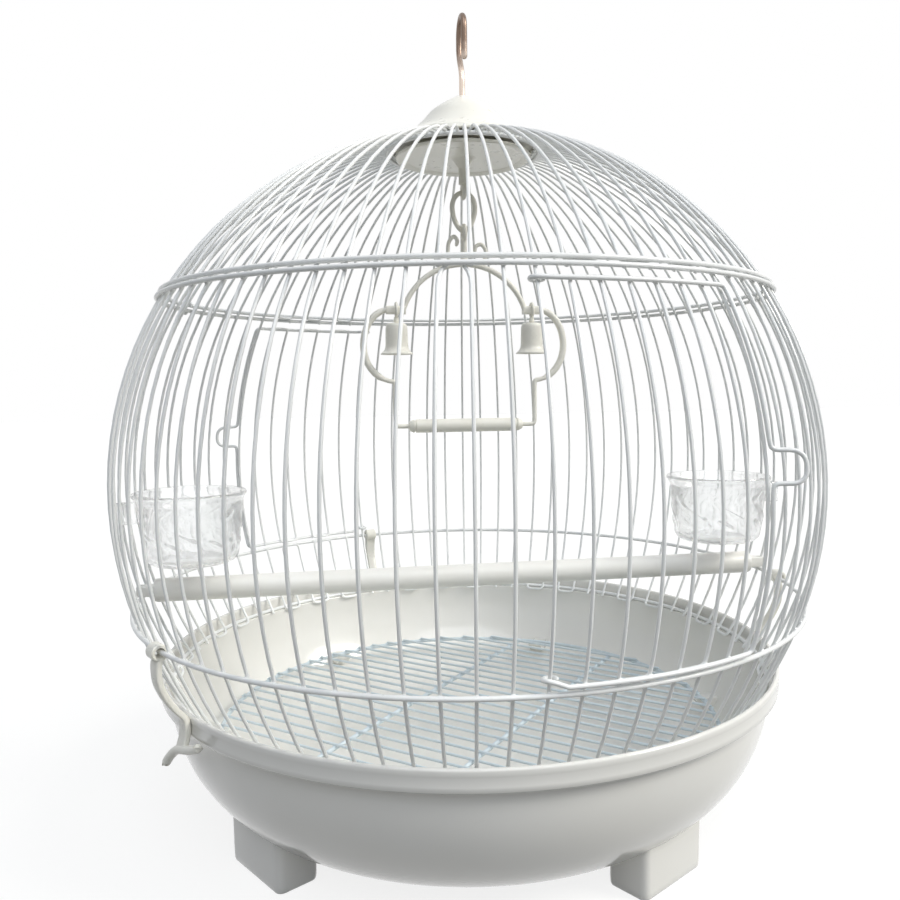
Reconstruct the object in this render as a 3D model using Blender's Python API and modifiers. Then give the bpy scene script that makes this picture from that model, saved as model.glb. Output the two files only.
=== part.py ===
"""Round wire bird cage on a moulded tray, with doors, swing, perch, cups and hook.

Metres, +Z up. The origin is on the floor under the middle of the tray. +X runs
along the perch, towards the right-hand cup, and -Y is the side of the front
door. Azimuths are in degrees from -Y towards +X.
"""
import math

import bmesh
import bpy
from mathutils import Vector

# Clearances
GAP = 0.0003                    # between pieces that touch on the real cage
WELD = 0.00001                  # distance at which doubled vertices are joined

# The bars: one sphere of wires, bent in pairs over the crown
BAR_COUNT = 84
PITCH = 360.0 / BAR_COUNT
BAR_DIAMETER = 0.0016
SPHERE_RADIUS = 0.190           # to the middle of the bars
SPHERE_Z = 0.180
SHOULDER_ANGLE = 18.0           # polar angle where the bars leave the sphere
CROWN_RADIUS = 0.0405           # where the bars turn back at the top
CROWN_RISE = 0.0025             # from the shoulder up to the turn
CROWN_BEND = 0.0017             # how far each hairpin reaches past the turn
BAR_FOOT_Z = 0.0800
PANEL_STARTS = (0, 8, 14, 20, 26, 32, 38, 46, 54, 60, 66, 72, 78)

# The rings that tie the bars together
RING_DIAMETER = 0.0022
RING_STEPS = 48
UPPER_RING_Z = 0.2808           # the lower one of the pair
UPPER_RING_RISE = 0.00285       # from it to the upper one
LOWER_RING_Z = 0.1210
CLIP_BARS = (-24.5, 17.5)       # places of the two clips, in bar pitches
CLIP_DIAMETER = 0.0016

# Doors: a wire frame that turns on one bar, and its own bars
DOOR_SPAN = 7                   # pitches from the hinge bar to the free edge
FRONT_DOOR_BAR = 0
REAR_DOOR_BAR = 46
DOOR_WIRE_DIAMETER = 0.0020
DOOR_TOP_Z = 0.2750
DOOR_EYE_Z = 0.1270             # lower eye
DOOR_FOOT_Z = 0.1244            # bottom bar
EYE_BORE_RADIUS = 0.00165
HANDLE_Z = 0.2020
HANDLE_HEIGHT = 0.0140
HANDLE_REACH = 0.0130
HANDLE_MARGIN = 0.0050          # of straight wire above and below the loop

# Tray: a bowl with a banded rim, a ledge for the cage and four feet
TRAY_WALL = 0.0026
RIM_CLEARANCE = 0.0015          # between the foot ring and the rim
RIM_TOP_Z = 0.0885
BAND_HEIGHT = 0.0105
BAND_STEP = 0.0048
LIP_ROUND = 0.0013
TRAY_FLOOR_RADIUS = 0.105
TRAY_FLOOR_Z = 0.0090           # underside of the bowl
TRAY_STEPS = 48
FOOT_AZIMUTHS = (-57.0, 33.0, 123.0, 213.0)
FOOT_WIDTH = 0.046
FOOT_DEPTH = 0.0225             # along the radius
FOOT_TOP_Z = 0.024
FOOT_INSET = 0.0003             # of the foot's outer face inside the bowl's wall
LUG_COUNT = 6
LUG_WIDTH = 0.010
LUG_HEIGHT = 0.006
LUG_REACH = 0.0035              # inwards past the middle of the grate's rim
LUG_TAPER = 0.0055

# Grate: parallel wires on a rim with two cross wires
GRATE_CLEARANCE = 0.0121        # between its rim and the bowl
GRATE_RIM_DIAMETER = 0.0024
GRATE_WIRE_DIAMETER = 0.0016
GRATE_RIM_Z = 0.0446
GRATE_PITCH = 0.010
GRATE_EDGE = 0.010              # least distance from the last wire to the rim
GRATE_TURN = 50.0               # azimuth of the wires
GRATE_STEPS = 40
CROSS_WIRE_DISTANCE = 0.036     # of each cross wire from the middle

# Latches on the lower ring
LATCH_BARS = (-13.5, 19.5, 45.5)
LATCH_WIDTH = 0.0056
LATCH_THICKNESS = 0.0030
LATCH_BARREL_RADIUS = 0.0038
LATCH_RIM_GAP = 0.0006
LATCH_GRIP_LENGTH = 0.022
LATCH_GRIP_DIAMETER = 0.0048

# Perch across the cage
PERCH_DIAMETER = 0.0130
PERCH_SETBACK = 0.0078          # of the round part's ends from the bars
PERCH_Z = 0.1260
FORK_LENGTH = 0.0130
FORK_WIDTH = 0.0064
FORK_HEIGHT = 0.0060
FORK_PAST = 0.0016              # how far the fork reaches past the bar's middle
FORK_THROAT = 0.0022            # depth of its slot inside the bar's middle

# Feed and water cups
CUP_SETBACK = 0.0361            # from the bars to the cup's middle
CUP_BASE_Z = 0.1410
CUP_HEIGHT = 0.0390
CUP_TOP_RADIUS = 0.0285
CUP_BASE_RADIUS = 0.0245
CUP_WALL = 0.0018
CUP_FLANGE = 0.0018
CUP_CORNER = 0.006
CUP_CLIP_HEIGHT = 0.012
CUP_CLIP_WIDTH = 0.0064
CUP_CLIP_Z = 0.1690
CUP_CLIP_PAST = 0.0024          # how far the clip reaches past the bar's middle
CUP_CLIP_THROAT = 0.0023        # depth of its slot inside the bar's middle

# Crown: cap, hook, nut and the plastic hanger for the swing
CAP_HEIGHT = 0.0275
CAP_WALL = 0.0018
CAP_ROOF = 0.0040               # thickness of its middle
HOOK_DIAMETER = 0.0032
HOOK_HEIGHT = 0.0429            # of its top over the cap
HOOK_BOW_RADIUS = 0.0088
HOOK_TIP_RISE = 0.0165          # of its tip over the cap
HOOK_SHOULDER_RISE = 0.0222     # of the bend into the bow, on the shank's side
HOOK_NECK_RISE = 0.0102         # of its first bend over the cap
HOOK_TAIL = 0.0020              # past the nut
NUT_RADIUS = 0.0048
NUT_HEIGHT = 0.0030
HANGER_SETBACK = 0.0033         # of the disc's edge from the bars' turn
HANGER_THICKNESS = 0.0020
HANGER_DROP = 0.0049            # from the bars' turn to the disc's underside
HANGER_TUBE_RADIUS = 0.0088
HANGER_TUBE_WALL = 0.0016
HANGER_BOSS_RADIUS = 0.0060
HANGER_STEM_DIAMETER = 0.0050
HANGER_STEM_LENGTH = 0.0163     # from the disc's underside to its eye
EYE_RADIUS = 0.0036             # of the eyes above and below the link
EYE_DIAMETER = 0.0026
LINK_DIAMETER = 0.0024
LINK_HALF_WIDTH = 0.0062
LINK_TAPER = 0.22               # share by which it widens upwards
LINK_POINTS = 18
LINK_DROP = 0.0215              # from the hanger's eye to the link's foot

# Swing
SWING_WIRE_DIAMETER = 0.0030
ARCH_DROP = 0.0180              # from the link's foot to the arch's top
ARCH_RISE = 0.0250
ARCH_HALF_WIDTH = 0.0345
BELL_X = 0.0385
EAR_X = 0.0425                  # where the ears begin
EAR_REACH = 0.0570
LEG_X = 0.0400
EAR_HEIGHT = 0.0395
LEG_LENGTH = 0.0250             # from the ear to the perch
SWING_PERCH_DIAMETER = 0.0077
SWING_PERCH_STRAIGHT = 0.0290
SWING_PERCH_END = 0.0325
SWING_PIN_END = 0.0300
CURL_DIAMETER = 0.0022          # of the two curls on top of the arch
CURL_LEFT = ((-0.0080, -0.0008), (-0.0090, 0.0050), (-0.0086, 0.0115),
             (-0.0058, 0.0150), (-0.0038, 0.0128), (-0.0045, 0.0098))
CURL_RIGHT = ((0.0080, -0.0008), (0.0112, 0.0020), (0.0124, 0.0070),
              (0.0098, 0.0108), (0.0066, 0.0096), (0.0062, 0.0064))
BELL_DROP = 0.0070              # from the swing's wire to the bell's top
BELL_HEIGHT = 0.0175
BELL_FOOT_RADIUS = 0.0090
BELL_WALL = 0.0011

# Worked-out sizes
BAR_RADIUS = BAR_DIAMETER / 2
RING_RADIUS = RING_DIAMETER / 2
DOOR_WIRE_RADIUS = DOOR_WIRE_DIAMETER / 2
DOOR_OFFSET = EYE_BORE_RADIUS + DOOR_WIRE_RADIUS
RING_SAG = 1.0 - math.cos(math.pi / RING_STEPS)
BOWL_Z = RIM_TOP_Z - BAND_HEIGHT
LEDGE_Z = BOWL_Z + TRAY_WALL
BASE_RING_Z = LEDGE_Z + GAP + RING_RADIUS
CROWN_Z = SPHERE_Z + SPHERE_RADIUS * math.cos(math.radians(SHOULDER_ANGLE)) + CROWN_RISE
CROWN_RING_Z = CROWN_Z - BAR_RADIUS - GAP - RING_RADIUS
CROWN_RING_RADIUS = CROWN_RADIUS + 0.001
CAP_RADIUS = CROWN_RADIUS
HANGER_RADIUS = CROWN_RADIUS - HANGER_SETBACK
CAP_FOOT_Z = CROWN_Z + BAR_RADIUS + GAP
CAP_TOP_Z = CAP_FOOT_Z + CAP_HEIGHT
CAP_CEILING_Z = CAP_TOP_Z - CAP_ROOF
HANGER_Z = CROWN_Z - HANGER_DROP
HANGER_EYE_Z = HANGER_Z - HANGER_STEM_LENGTH
LINK_FOOT_Z = HANGER_EYE_Z - LINK_DROP
ARCH_TOP_Z = LINK_FOOT_Z - ARCH_DROP
ARCH_FOOT_Z = ARCH_TOP_Z - ARCH_RISE
EAR_FOOT_Z = ARCH_FOOT_Z - EAR_HEIGHT
SWING_PERCH_Z = EAR_FOOT_Z - LEG_LENGTH


def polar(radius, azimuth, height=0.0):
    """Point at a radius and an azimuth, measured from -Y towards +X."""
    turn = math.radians(azimuth)
    return Vector((radius * math.sin(turn), -radius * math.cos(turn), height))


def angle_at(height):
    """Polar angle of the sphere of bars at a height."""
    return math.degrees(math.acos((height - SPHERE_Z) / SPHERE_RADIUS))


def sphere_point(azimuth, angle, offset=0.0):
    """Point on the sphere of bars, or a little outside it."""
    reach = SPHERE_RADIUS + offset
    turn = math.radians(angle)
    return polar(reach * math.sin(turn), azimuth, SPHERE_Z + reach * math.cos(turn))


def spread(start, end, steps):
    """Evenly spaced values from start to end, both included."""
    return [start + (end - start) * i / steps for i in range(steps + 1)]


def ring_radius_at(height):
    """Radius of a ring that lies on the outside of the bars at a height."""
    reach = SPHERE_RADIUS + BAR_RADIUS + GAP + RING_RADIUS
    radius = math.sqrt(reach ** 2 - (height - SPHERE_Z) ** 2)
    return radius / (1.0 - RING_SAG)


def level_ring_radius(height):
    """Radius of a ring that stands on the ledge, level with the bars' feet."""
    reach = math.sqrt(SPHERE_RADIUS ** 2 - (height - SPHERE_Z) ** 2)
    return (reach + BAR_RADIUS + GAP + RING_RADIUS) / (1.0 - RING_SAG)


def bowl_radius(shrink, height):
    """Radius of the bowl's wall at a height."""
    wide = BOWL_RADIUS - TRAY_FLOOR_RADIUS - shrink
    deep = BOWL_Z - TRAY_FLOOR_Z - shrink
    return TRAY_FLOOR_RADIUS + wide * math.sqrt(1.0 - ((BOWL_Z - height) / deep) ** 2)


def ring_reach(radius, azimuth):
    """Distance from the axis to the middle of a ring's straight runs at an azimuth."""
    step = 360.0 / RING_STEPS
    offset = (azimuth - 90.0) % step - step / 2
    return radius * math.cos(math.radians(step / 2)) / math.cos(math.radians(offset))


UPPER_RING_TOP_Z = UPPER_RING_Z + UPPER_RING_RISE
UPPER_PAIR_Z = (UPPER_RING_Z + UPPER_RING_TOP_Z) / 2
LOWER_RING_RADIUS = ring_radius_at(LOWER_RING_Z)
UPPER_RING_RADIUS = ring_radius_at(UPPER_RING_Z)
UPPER_RING_TOP_RADIUS = ring_radius_at(UPPER_RING_TOP_Z)
BASE_RING_RADIUS = level_ring_radius(BASE_RING_Z)
RIM_RADIUS = BASE_RING_RADIUS + RING_RADIUS + RIM_CLEARANCE + TRAY_WALL
BOWL_RADIUS = RIM_RADIUS - BAND_STEP
GRATE_REACH = bowl_radius(TRAY_WALL, GRATE_RIM_Z) - GRATE_CLEARANCE
GRATE_RADIUS = GRATE_REACH - GRATE_RIM_DIAMETER / 2
GRATE_SIDE_RUNS = int((GRATE_RADIUS - GRATE_EDGE) / GRATE_PITCH)


# Building blocks

def clear_scene():
    """Remove every object."""
    for item in list(bpy.data.objects):
        bpy.data.objects.remove(item, do_unlink=True)


def new_collection(name):
    """Collection linked to the scene."""
    group = bpy.data.collections.new(name)
    bpy.context.scene.collection.children.link(group)
    return group


def finish(name, colour, roughness, metallic=0.0, transmission=0.0):
    """Principled material with a plain colour."""
    made = bpy.data.materials.new(name)
    made.use_nodes = True
    shader = made.node_tree.nodes["Principled BSDF"]
    shader.inputs["Base Color"].default_value = (*colour, 1.0)
    shader.inputs["Roughness"].default_value = roughness
    shader.inputs["Metallic"].default_value = metallic
    shader.inputs["Transmission Weight"].default_value = transmission
    return made


def register(item, material, parent=None):
    """Link an object to the cage's collection, dress it and parent it."""
    for group in list(item.users_collection):
        group.objects.unlink(item)
    CAGE.objects.link(item)
    if material is not None:
        item.data.materials.clear()
        item.data.materials.append(material)
    item.parent = parent
    return item


def pivot(name, location, turn=0.0):
    """Empty on a joint's axis, which carries the pieces that move there."""
    item = bpy.data.objects.new(name, None)
    item.location = location
    item.rotation_euler = (0.0, 0.0, math.radians(turn))
    item.empty_display_size = 0.01
    CAGE.objects.link(item)
    return item


def wire(name, points, diameter, material, parent=None, closed=False, sides=4):
    """Tube along straight runs between points, in the parent's frame."""
    data = bpy.data.curves.new(name, "CURVE")
    data.dimensions = "3D"
    data.bevel_depth = diameter / 2
    data.bevel_resolution = (sides - 4) // 2
    data.use_fill_caps = not closed
    data.twist_mode = "MINIMUM"
    run = data.splines.new("POLY")
    run.points.add(len(points) - 1)
    for slot, point in zip(run.points, points):
        slot.co = (*point, 1.0)
    run.use_cyclic_u = closed
    item = bpy.data.objects.new(name, data)
    return register(item, material, parent)


def as_mesh(item):
    """Replace a curve object by a welded mesh object of the same name."""
    bpy.context.view_layer.update()
    graph = bpy.context.evaluated_depsgraph_get()
    data = bpy.data.meshes.new_from_object(item.evaluated_get(graph))
    shape = bmesh.new()
    shape.from_mesh(data)
    bmesh.ops.remove_doubles(shape, verts=shape.verts, dist=WELD)
    shape.to_mesh(data)
    shape.free()
    name, parent, place = item.name, item.parent, item.matrix_world.copy()
    bpy.data.objects.remove(item, do_unlink=True)
    made = bpy.data.objects.new(name, data)
    CAGE.objects.link(made)
    made.parent = parent
    made.matrix_world = place
    return made


def lathe(name, profile, steps, material, parent=None, along_x=False):
    """Solid turned from a profile of (radius, height) that runs down its outer side."""
    data = bpy.data.meshes.new(name)
    shape = bmesh.new()
    closed = profile[0] == profile[-1]
    corners = profile[:-1] if closed else profile
    ring = [shape.verts.new((radius, 0.0, height)) for radius, height in corners]
    if closed:
        ring.append(ring[0])
    for one, two in zip(ring, ring[1:]):
        shape.edges.new((one, two))
    shape.to_mesh(data)
    shape.free()
    item = bpy.data.objects.new(name, data)
    turn = item.modifiers.new("Turn", "SCREW")
    turn.angle = math.tau
    turn.steps = steps
    turn.render_steps = steps
    turn.use_merge_vertices = True
    turn.merge_threshold = WELD
    register(item, material, parent)
    if along_x:
        item.rotation_euler = (0.0, math.pi / 2, 0.0)
    return item


def block(name, size, centre, material=None, parent=None, turn=0.0):
    """Box with its size and its middle."""
    bpy.ops.mesh.primitive_cube_add(size=1.0)
    item = bpy.context.object
    item.name = name
    item.data.name = name
    for corner in item.data.vertices:
        corner.co = Vector(part * length for part, length in zip(corner.co, size))
    item.location = centre
    item.rotation_euler = (0.0, 0.0, math.radians(turn))
    return register(item, material, parent)


def rod(name, radius, length, centre, sides, material=None, parent=None, axis="Z"):
    """Cylinder along one axis."""
    bpy.ops.mesh.primitive_cylinder_add(vertices=sides, radius=radius, depth=length)
    item = bpy.context.object
    item.name = name
    item.data.name = name
    item.location = centre
    item.rotation_euler = {
        "X": (0.0, math.pi / 2, 0.0),
        "Y": (math.pi / 2, 0.0, 0.0),
        "Z": (0.0, 0.0, 0.0),
    }[axis]
    return register(smooth(item), material, parent)


def plate(name, outline, thickness, material=None, parent=None):
    """Flat outline in X and Z, extruded along Y by its thickness."""
    data = bpy.data.curves.new(name, "CURVE")
    data.dimensions = "2D"
    data.fill_mode = "BOTH"
    data.extrude = thickness / 2
    run = data.splines.new("POLY")
    run.points.add(len(outline) - 1)
    for slot, (across, up) in zip(run.points, outline):
        slot.co = (across, up, 0.0, 1.0)
    run.use_cyclic_u = True
    item = bpy.data.objects.new(name, data)
    item.rotation_euler = (math.pi / 2, 0.0, 0.0)
    register(item, None, parent)
    made = as_mesh(item)
    if material is not None:
        made.data.materials.append(material)
    return made


def combine(item, tools, operation):
    """Join or cut an object by others, which become hidden guides."""
    for tool in tools:
        for group in list(tool.users_collection):
            group.objects.unlink(tool)
        GUIDES.objects.link(tool)
        tool.hide_render = True
        tool.display_type = "WIRE"
        step = item.modifiers.new(operation.title(), "BOOLEAN")
        step.operation = operation
        step.object = tool
        step.solver = "EXACT"
    return item


def smooth(item, angle=35.0):
    """Shade a mesh smooth with sharp edges kept."""
    item.data.shade_smooth()
    item.data.set_sharp_from_angle(angle=math.radians(angle))
    return item


def circle(radius, centre, steps, plane="XZ", start=0.0, sweep=360.0):
    """Points round a circle or along an arc, in a plane of two axes."""
    count = steps if sweep >= 360.0 else steps + 1
    points = []
    for i in range(count):
        turn = math.radians(start + sweep * i / steps)
        across, up = radius * math.cos(turn), radius * math.sin(turn)
        shift = {
            "XZ": Vector((across, 0.0, up)),
            "YZ": Vector((0.0, across, up)),
            "XY": Vector((across, up, 0.0)),
        }[plane]
        points.append(Vector(centre) + shift)
    return points


# Bars and rings

def bar_line(index, low_angle):
    """Middle of one bar from a polar angle up to the crown."""
    azimuth = index * PITCH
    upper = angle_at(UPPER_PAIR_Z)
    lower = angle_at(LOWER_RING_Z)
    foot = angle_at(BAR_FOOT_Z)
    angles = [foot] + spread(lower, upper, 4) + spread(upper, SHOULDER_ANGLE, 3)[1:]
    kept = [angle for angle in angles if angle <= low_angle + 0.01]
    line = [sphere_point(azimuth, angle) for angle in kept]
    line.append(polar(CROWN_RADIUS, azimuth, CROWN_Z))
    return line


def in_doorway(index):
    """Whether a bar is interrupted by one of the doors."""
    for hinge in (FRONT_DOOR_BAR, REAR_DOOR_BAR):
        if hinge < index < hinge + DOOR_SPAN:
            return True
    return False


def build_panels(coated):
    """Panels of bars, each one wire that is bent to and fro."""
    ends = PANEL_STARTS[1:] + (BAR_COUNT,)
    for number, (first, end) in enumerate(zip(PANEL_STARTS, ends)):
        path = []
        for index in range(first, end):
            low = UPPER_PAIR_Z if in_doorway(index) else BAR_FOOT_Z
            line = bar_line(index, angle_at(low))
            rising = (index - first) % 2 == 0
            path.extend(line if rising else reversed(line))
            if rising:
                bend = polar(CROWN_RADIUS - CROWN_BEND, (index + 0.5) * PITCH, CROWN_Z)
                path.append(bend)
        wire(f"bar_panel_{number + 1}", path, BAR_DIAMETER, coated)


def build_stubs(coated):
    """The short bars between a door and the tray, one bent wire under each door."""
    for name, hinge in (("front", FRONT_DOOR_BAR), ("rear", REAR_DOOR_BAR)):
        path = []
        for step in range(DOOR_SPAN - 1):
            azimuth = (hinge + 1 + step) * PITCH
            ends = [sphere_point(azimuth, angle_at(LOWER_RING_Z)),
                    sphere_point(azimuth, angle_at(BAR_FOOT_Z))]
            path.extend(ends if step % 2 == 0 else reversed(ends))
        wire(f"door_stubs_{name}", path, BAR_DIAMETER, coated)


def build_rings(coated):
    """The five rings and the two clips that tie the upper pair."""
    rings = {
        "upper_ring_top": (UPPER_RING_TOP_RADIUS, UPPER_RING_TOP_Z),
        "upper_ring_bottom": (UPPER_RING_RADIUS, UPPER_RING_Z),
        "lower_ring": (LOWER_RING_RADIUS, LOWER_RING_Z),
        "base_ring": (BASE_RING_RADIUS, BASE_RING_Z),
    }
    for name, (radius, height) in rings.items():
        points = circle(radius, (0.0, 0.0, height), RING_STEPS, "XY")
        wire(name, points, RING_DIAMETER, coated, closed=True, sides=6)
    points = circle(CROWN_RING_RADIUS, (0.0, 0.0, CROWN_RING_Z), RING_STEPS // 2, "XY")
    wire("crown_ring", points, RING_DIAMETER, coated, closed=True, sides=6)
    for name, place in zip(("ring_clip_left", "ring_clip_right"), CLIP_BARS):
        azimuth = place * PITCH
        upper = Vector((ring_reach(UPPER_RING_TOP_RADIUS, azimuth), 0.0, UPPER_RING_TOP_Z))
        lower = Vector((ring_reach(UPPER_RING_RADIUS, azimuth), 0.0, UPPER_RING_Z))
        lean = math.degrees(math.atan2(lower.x - upper.x, upper.z - lower.z))
        reach = RING_RADIUS + GAP + CLIP_DIAMETER / 2
        top = circle(reach, upper, 6, "XZ", 180.0 + lean, -180.0)
        foot = circle(reach, lower, 6, "XZ", lean, -180.0)
        carrier = pivot(name + "_place", (0.0, 0.0, 0.0), azimuth - 90.0)
        wire(name, top + foot, CLIP_DIAMETER, coated, carrier)


# Doors

def hinge_points(index):
    """Lower and upper point of a door's hinge line, on its bar."""
    azimuth = index * PITCH
    return [polar(bar_reach(height), azimuth, height) for height in (DOOR_EYE_Z, DOOR_TOP_Z)]


def bar_reach(height):
    """Distance from the axis to the middle of a bar's straight runs at a height."""
    line = bar_line(0, angle_at(BAR_FOOT_Z))
    for low, high in zip(line, line[1:]):
        if low.z <= height <= high.z:
            share = (height - low.z) / (high.z - low.z)
            return -(low.y + (high.y - low.y) * share)
    raise ValueError("height is outside the bars")


def hinge_eye(centre, outward, side, start, end):
    """Points round a hinge line, from one direction to another."""
    points = []
    for turn in spread(start, end, 8):
        angle = math.radians(turn)
        points.append(centre + DOOR_OFFSET * (math.cos(angle) * outward + math.sin(angle) * side))
    return points


def build_door(name, index, coated):
    """A door: its frame with two eyes and a handle, and its bent bars."""
    lower, upper = hinge_points(index)
    carrier = pivot(name + "_pivot", lower)
    axis = (upper - lower).normalized()
    side = polar(1.0, index * PITCH + 90.0)
    outward = side.cross(axis).normalized()
    if outward.dot(polar(1.0, index * PITCH)) < 0.0:
        outward = -outward
    azimuths = [(index + step) * PITCH for step in range(1, DOOR_SPAN + 1)]

    def edge(azimuth, height):
        return sphere_point(azimuth, angle_at(height), DOOR_OFFSET)

    free = azimuths[-1]
    path = hinge_eye(upper, outward, side, -255.0, 0.0)
    path += [edge(azimuth, DOOR_TOP_Z) for azimuth in azimuths]
    margin = HANDLE_HEIGHT / 2 + HANDLE_MARGIN
    path += [edge(free, height) for height in spread(DOOR_TOP_Z, HANDLE_Z + margin, 3)[1:]]
    path += handle_points(edge, free)
    path += [edge(free, height) for height in spread(HANDLE_Z - margin, DOOR_FOOT_Z, 3)]
    path += [edge(azimuth, DOOR_FOOT_Z) for azimuth in reversed(azimuths[:-1])]
    path += hinge_eye(lower, outward, side, 0.0, -255.0)
    local = [point - carrier.location for point in path]
    wire(name + "_frame", local, DOOR_WIRE_DIAMETER, coated, carrier)

    reach = DOOR_WIRE_RADIUS + GAP + BAR_RADIUS
    heights = spread(DOOR_FOOT_Z + reach, DOOR_TOP_Z - reach, 6)
    path = []
    for step, azimuth in enumerate(azimuths[:-1]):
        line = [edge(azimuth, height) for height in heights]
        path.extend(line if step % 2 == 0 else reversed(line))
    local = [point - carrier.location for point in path]
    wire(name + "_bars", local, BAR_DIAMETER, coated, carrier)


def handle_points(edge, azimuth):
    """The finger loop on a door's free edge, which leans out to the side."""
    lean = polar(1.0, azimuth + 45.0)
    half = HANDLE_HEIGHT / 2
    shape = ((0.1, half), (0.72, half - 0.0008), (1.0, 0.0032), (1.0, -0.0032),
             (0.72, -half + 0.0008), (0.1, -half))
    return [edge(azimuth, HANDLE_Z + rise) + lean * (HANDLE_REACH * share)
            for share, rise in shape]


# Tray and grate

def bowl_curve(shrink, steps=9):
    """Quarter ellipse of the bowl's wall, from its top down to its floor."""
    wide = BOWL_RADIUS - TRAY_FLOOR_RADIUS - shrink
    deep = BOWL_Z - TRAY_FLOOR_Z - shrink
    return [(TRAY_FLOOR_RADIUS + wide * math.cos(turn), BOWL_Z - deep * math.sin(turn))
            for turn in spread(0.0, math.pi / 2, steps)]


def build_tray(moulded):
    """The tray: an outer solid with feet, hollowed, with lugs for the grate."""
    lip_middle = RIM_RADIUS - TRAY_WALL / 2
    outer = [(0.0, RIM_TOP_Z), (lip_middle, RIM_TOP_Z), (RIM_RADIUS, RIM_TOP_Z - LIP_ROUND),
             (RIM_RADIUS, BOWL_Z)] + bowl_curve(0.0) + [(0.0, TRAY_FLOOR_Z)]
    above = RIM_TOP_Z + 0.01
    inner_lip = RIM_RADIUS - TRAY_WALL
    hollow = [(0.0, above), (lip_middle - GAP, above), (lip_middle - GAP, RIM_TOP_Z - GAP),
              (inner_lip, RIM_TOP_Z - LIP_ROUND), (inner_lip, LEDGE_Z),
              (BOWL_RADIUS - TRAY_WALL, LEDGE_Z)] + bowl_curve(TRAY_WALL)
    hollow.append((0.0, TRAY_FLOOR_Z + TRAY_WALL))
    tray = lathe("tray", outer, TRAY_STEPS, moulded)
    feet = []
    foot_radius = bowl_radius(0.0, FOOT_TOP_Z) - FOOT_INSET - FOOT_DEPTH / 2
    for number, azimuth in enumerate(FOOT_AZIMUTHS):
        size = (FOOT_DEPTH, FOOT_WIDTH, FOOT_TOP_Z)
        centre = polar(foot_radius, azimuth, FOOT_TOP_Z / 2)
        feet.append(block(f"foot_guide_{number + 1}", size, centre, turn=azimuth - 90.0))
    combine(tray, feet, "UNION")
    combine(tray, [lathe("tray_hollow", hollow, TRAY_STEPS, None)], "DIFFERENCE")
    combine(tray, [grate_lug(number) for number in range(LUG_COUNT)], "UNION")
    return tray


def grate_lug(number):
    """Guide for one lug that carries the grate's rim."""
    top = GRATE_RIM_Z - GRATE_RIM_DIAMETER / 2 - GAP
    foot = top - LUG_HEIGHT
    bite = TRAY_WALL / 2
    inner = GRATE_RADIUS - LUG_REACH
    outline = [(inner, top), (bowl_radius(TRAY_WALL, top) + bite, top),
               (bowl_radius(TRAY_WALL, foot) + bite, foot), (inner + LUG_TAPER, foot)]
    carrier = pivot(f"lug_place_{number + 1}", (0.0, 0.0, 0.0),
                    (number + 0.5) * 360.0 / LUG_COUNT - 90.0)
    return plate(f"lug_guide_{number + 1}", outline, LUG_WIDTH, None, carrier)


def build_grate(coated):
    """The grate: a rim and two cross wires under one wire bent to and fro."""
    carrier = pivot("grate_pivot", (0.0, 0.0, GRATE_RIM_Z), GRATE_TURN)
    points = circle(GRATE_RADIUS, (0.0, 0.0, 0.0), GRATE_STEPS, "XY")
    wire("grate_rim", points, GRATE_RIM_DIAMETER, coated, carrier, closed=True)
    rise = (GRATE_RIM_DIAMETER + GRATE_WIRE_DIAMETER) / 2 + GAP
    path = []
    for run in range(-GRATE_SIDE_RUNS, GRATE_SIDE_RUNS + 1):
        across = run * GRATE_PITCH
        half = math.sqrt(GRATE_RADIUS ** 2 - across ** 2)
        ends = [Vector((-half, across, rise)), Vector((half, across, rise))]
        path.extend(ends if run % 2 == 0 else reversed(ends))
    wire("grate_wires", path, GRATE_WIRE_DIAMETER, coated, carrier)
    inner = GRATE_RADIUS * math.cos(math.pi / GRATE_STEPS) - GRATE_RIM_DIAMETER
    for number, place in enumerate((-CROSS_WIRE_DISTANCE, CROSS_WIRE_DISTANCE)):
        half = math.sqrt(inner ** 2 - place ** 2)
        ends = [(place, -half, 0.0), (place, half, 0.0)]
        wire(f"grate_cross_wire_{number + 1}", ends, GRATE_RIM_DIAMETER, coated, carrier)


# Latches

def build_latches(moulded):
    """Plastic latches that turn on the lower ring and press on the tray's band."""
    grip_x = RIM_RADIUS + LATCH_RIM_GAP + LATCH_THICKNESS / 2 - LOWER_RING_RADIUS
    band_top = RIM_TOP_Z - LOWER_RING_Z
    band_foot = BOWL_Z - LOWER_RING_Z
    spine = [(0.0, -LATCH_BARREL_RADIUS + 0.0012), (0.0040, -0.0060), (0.0052, -0.0140),
             (0.0040, -0.0215), (grip_x / 2, band_top + 0.0040), (grip_x, band_top - 0.0010),
             (grip_x, band_foot), (grip_x + 0.0030, band_foot - 0.0055)]
    outline = ribbon(spine, LATCH_THICKNESS)
    for number, place in enumerate(LATCH_BARS):
        name = f"latch_{number + 1}"
        azimuth = place * PITCH
        centre = polar(ring_reach(LOWER_RING_RADIUS, azimuth), azimuth, LOWER_RING_Z)
        carrier = pivot(name + "_pivot", centre, azimuth - 90.0)
        latch = plate(name, outline, LATCH_WIDTH, moulded, carrier)
        barrel = rod(name + "_barrel", LATCH_BARREL_RADIUS, LATCH_WIDTH + 0.0001,
                     (0.0, 0.0, 0.0), 16, parent=carrier, axis="Y")
        grip = rod(name + "_grip", LATCH_GRIP_DIAMETER / 2, LATCH_GRIP_LENGTH,
                   (spine[-1][0], 0.0, spine[-1][1]), 10, parent=carrier, axis="Y")
        bore = rod(name + "_bore", RING_RADIUS + GAP, LATCH_WIDTH * 2,
                   (0.0, 0.0, 0.0), 16, parent=carrier, axis="Y")
        combine(latch, [barrel, grip], "UNION")
        combine(latch, [bore], "DIFFERENCE")


def ribbon(spine, thickness):
    """Closed outline of a strip of even thickness along a bent line."""
    return beside(spine, thickness / 2) + list(reversed(beside(spine, -thickness / 2)))


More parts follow.
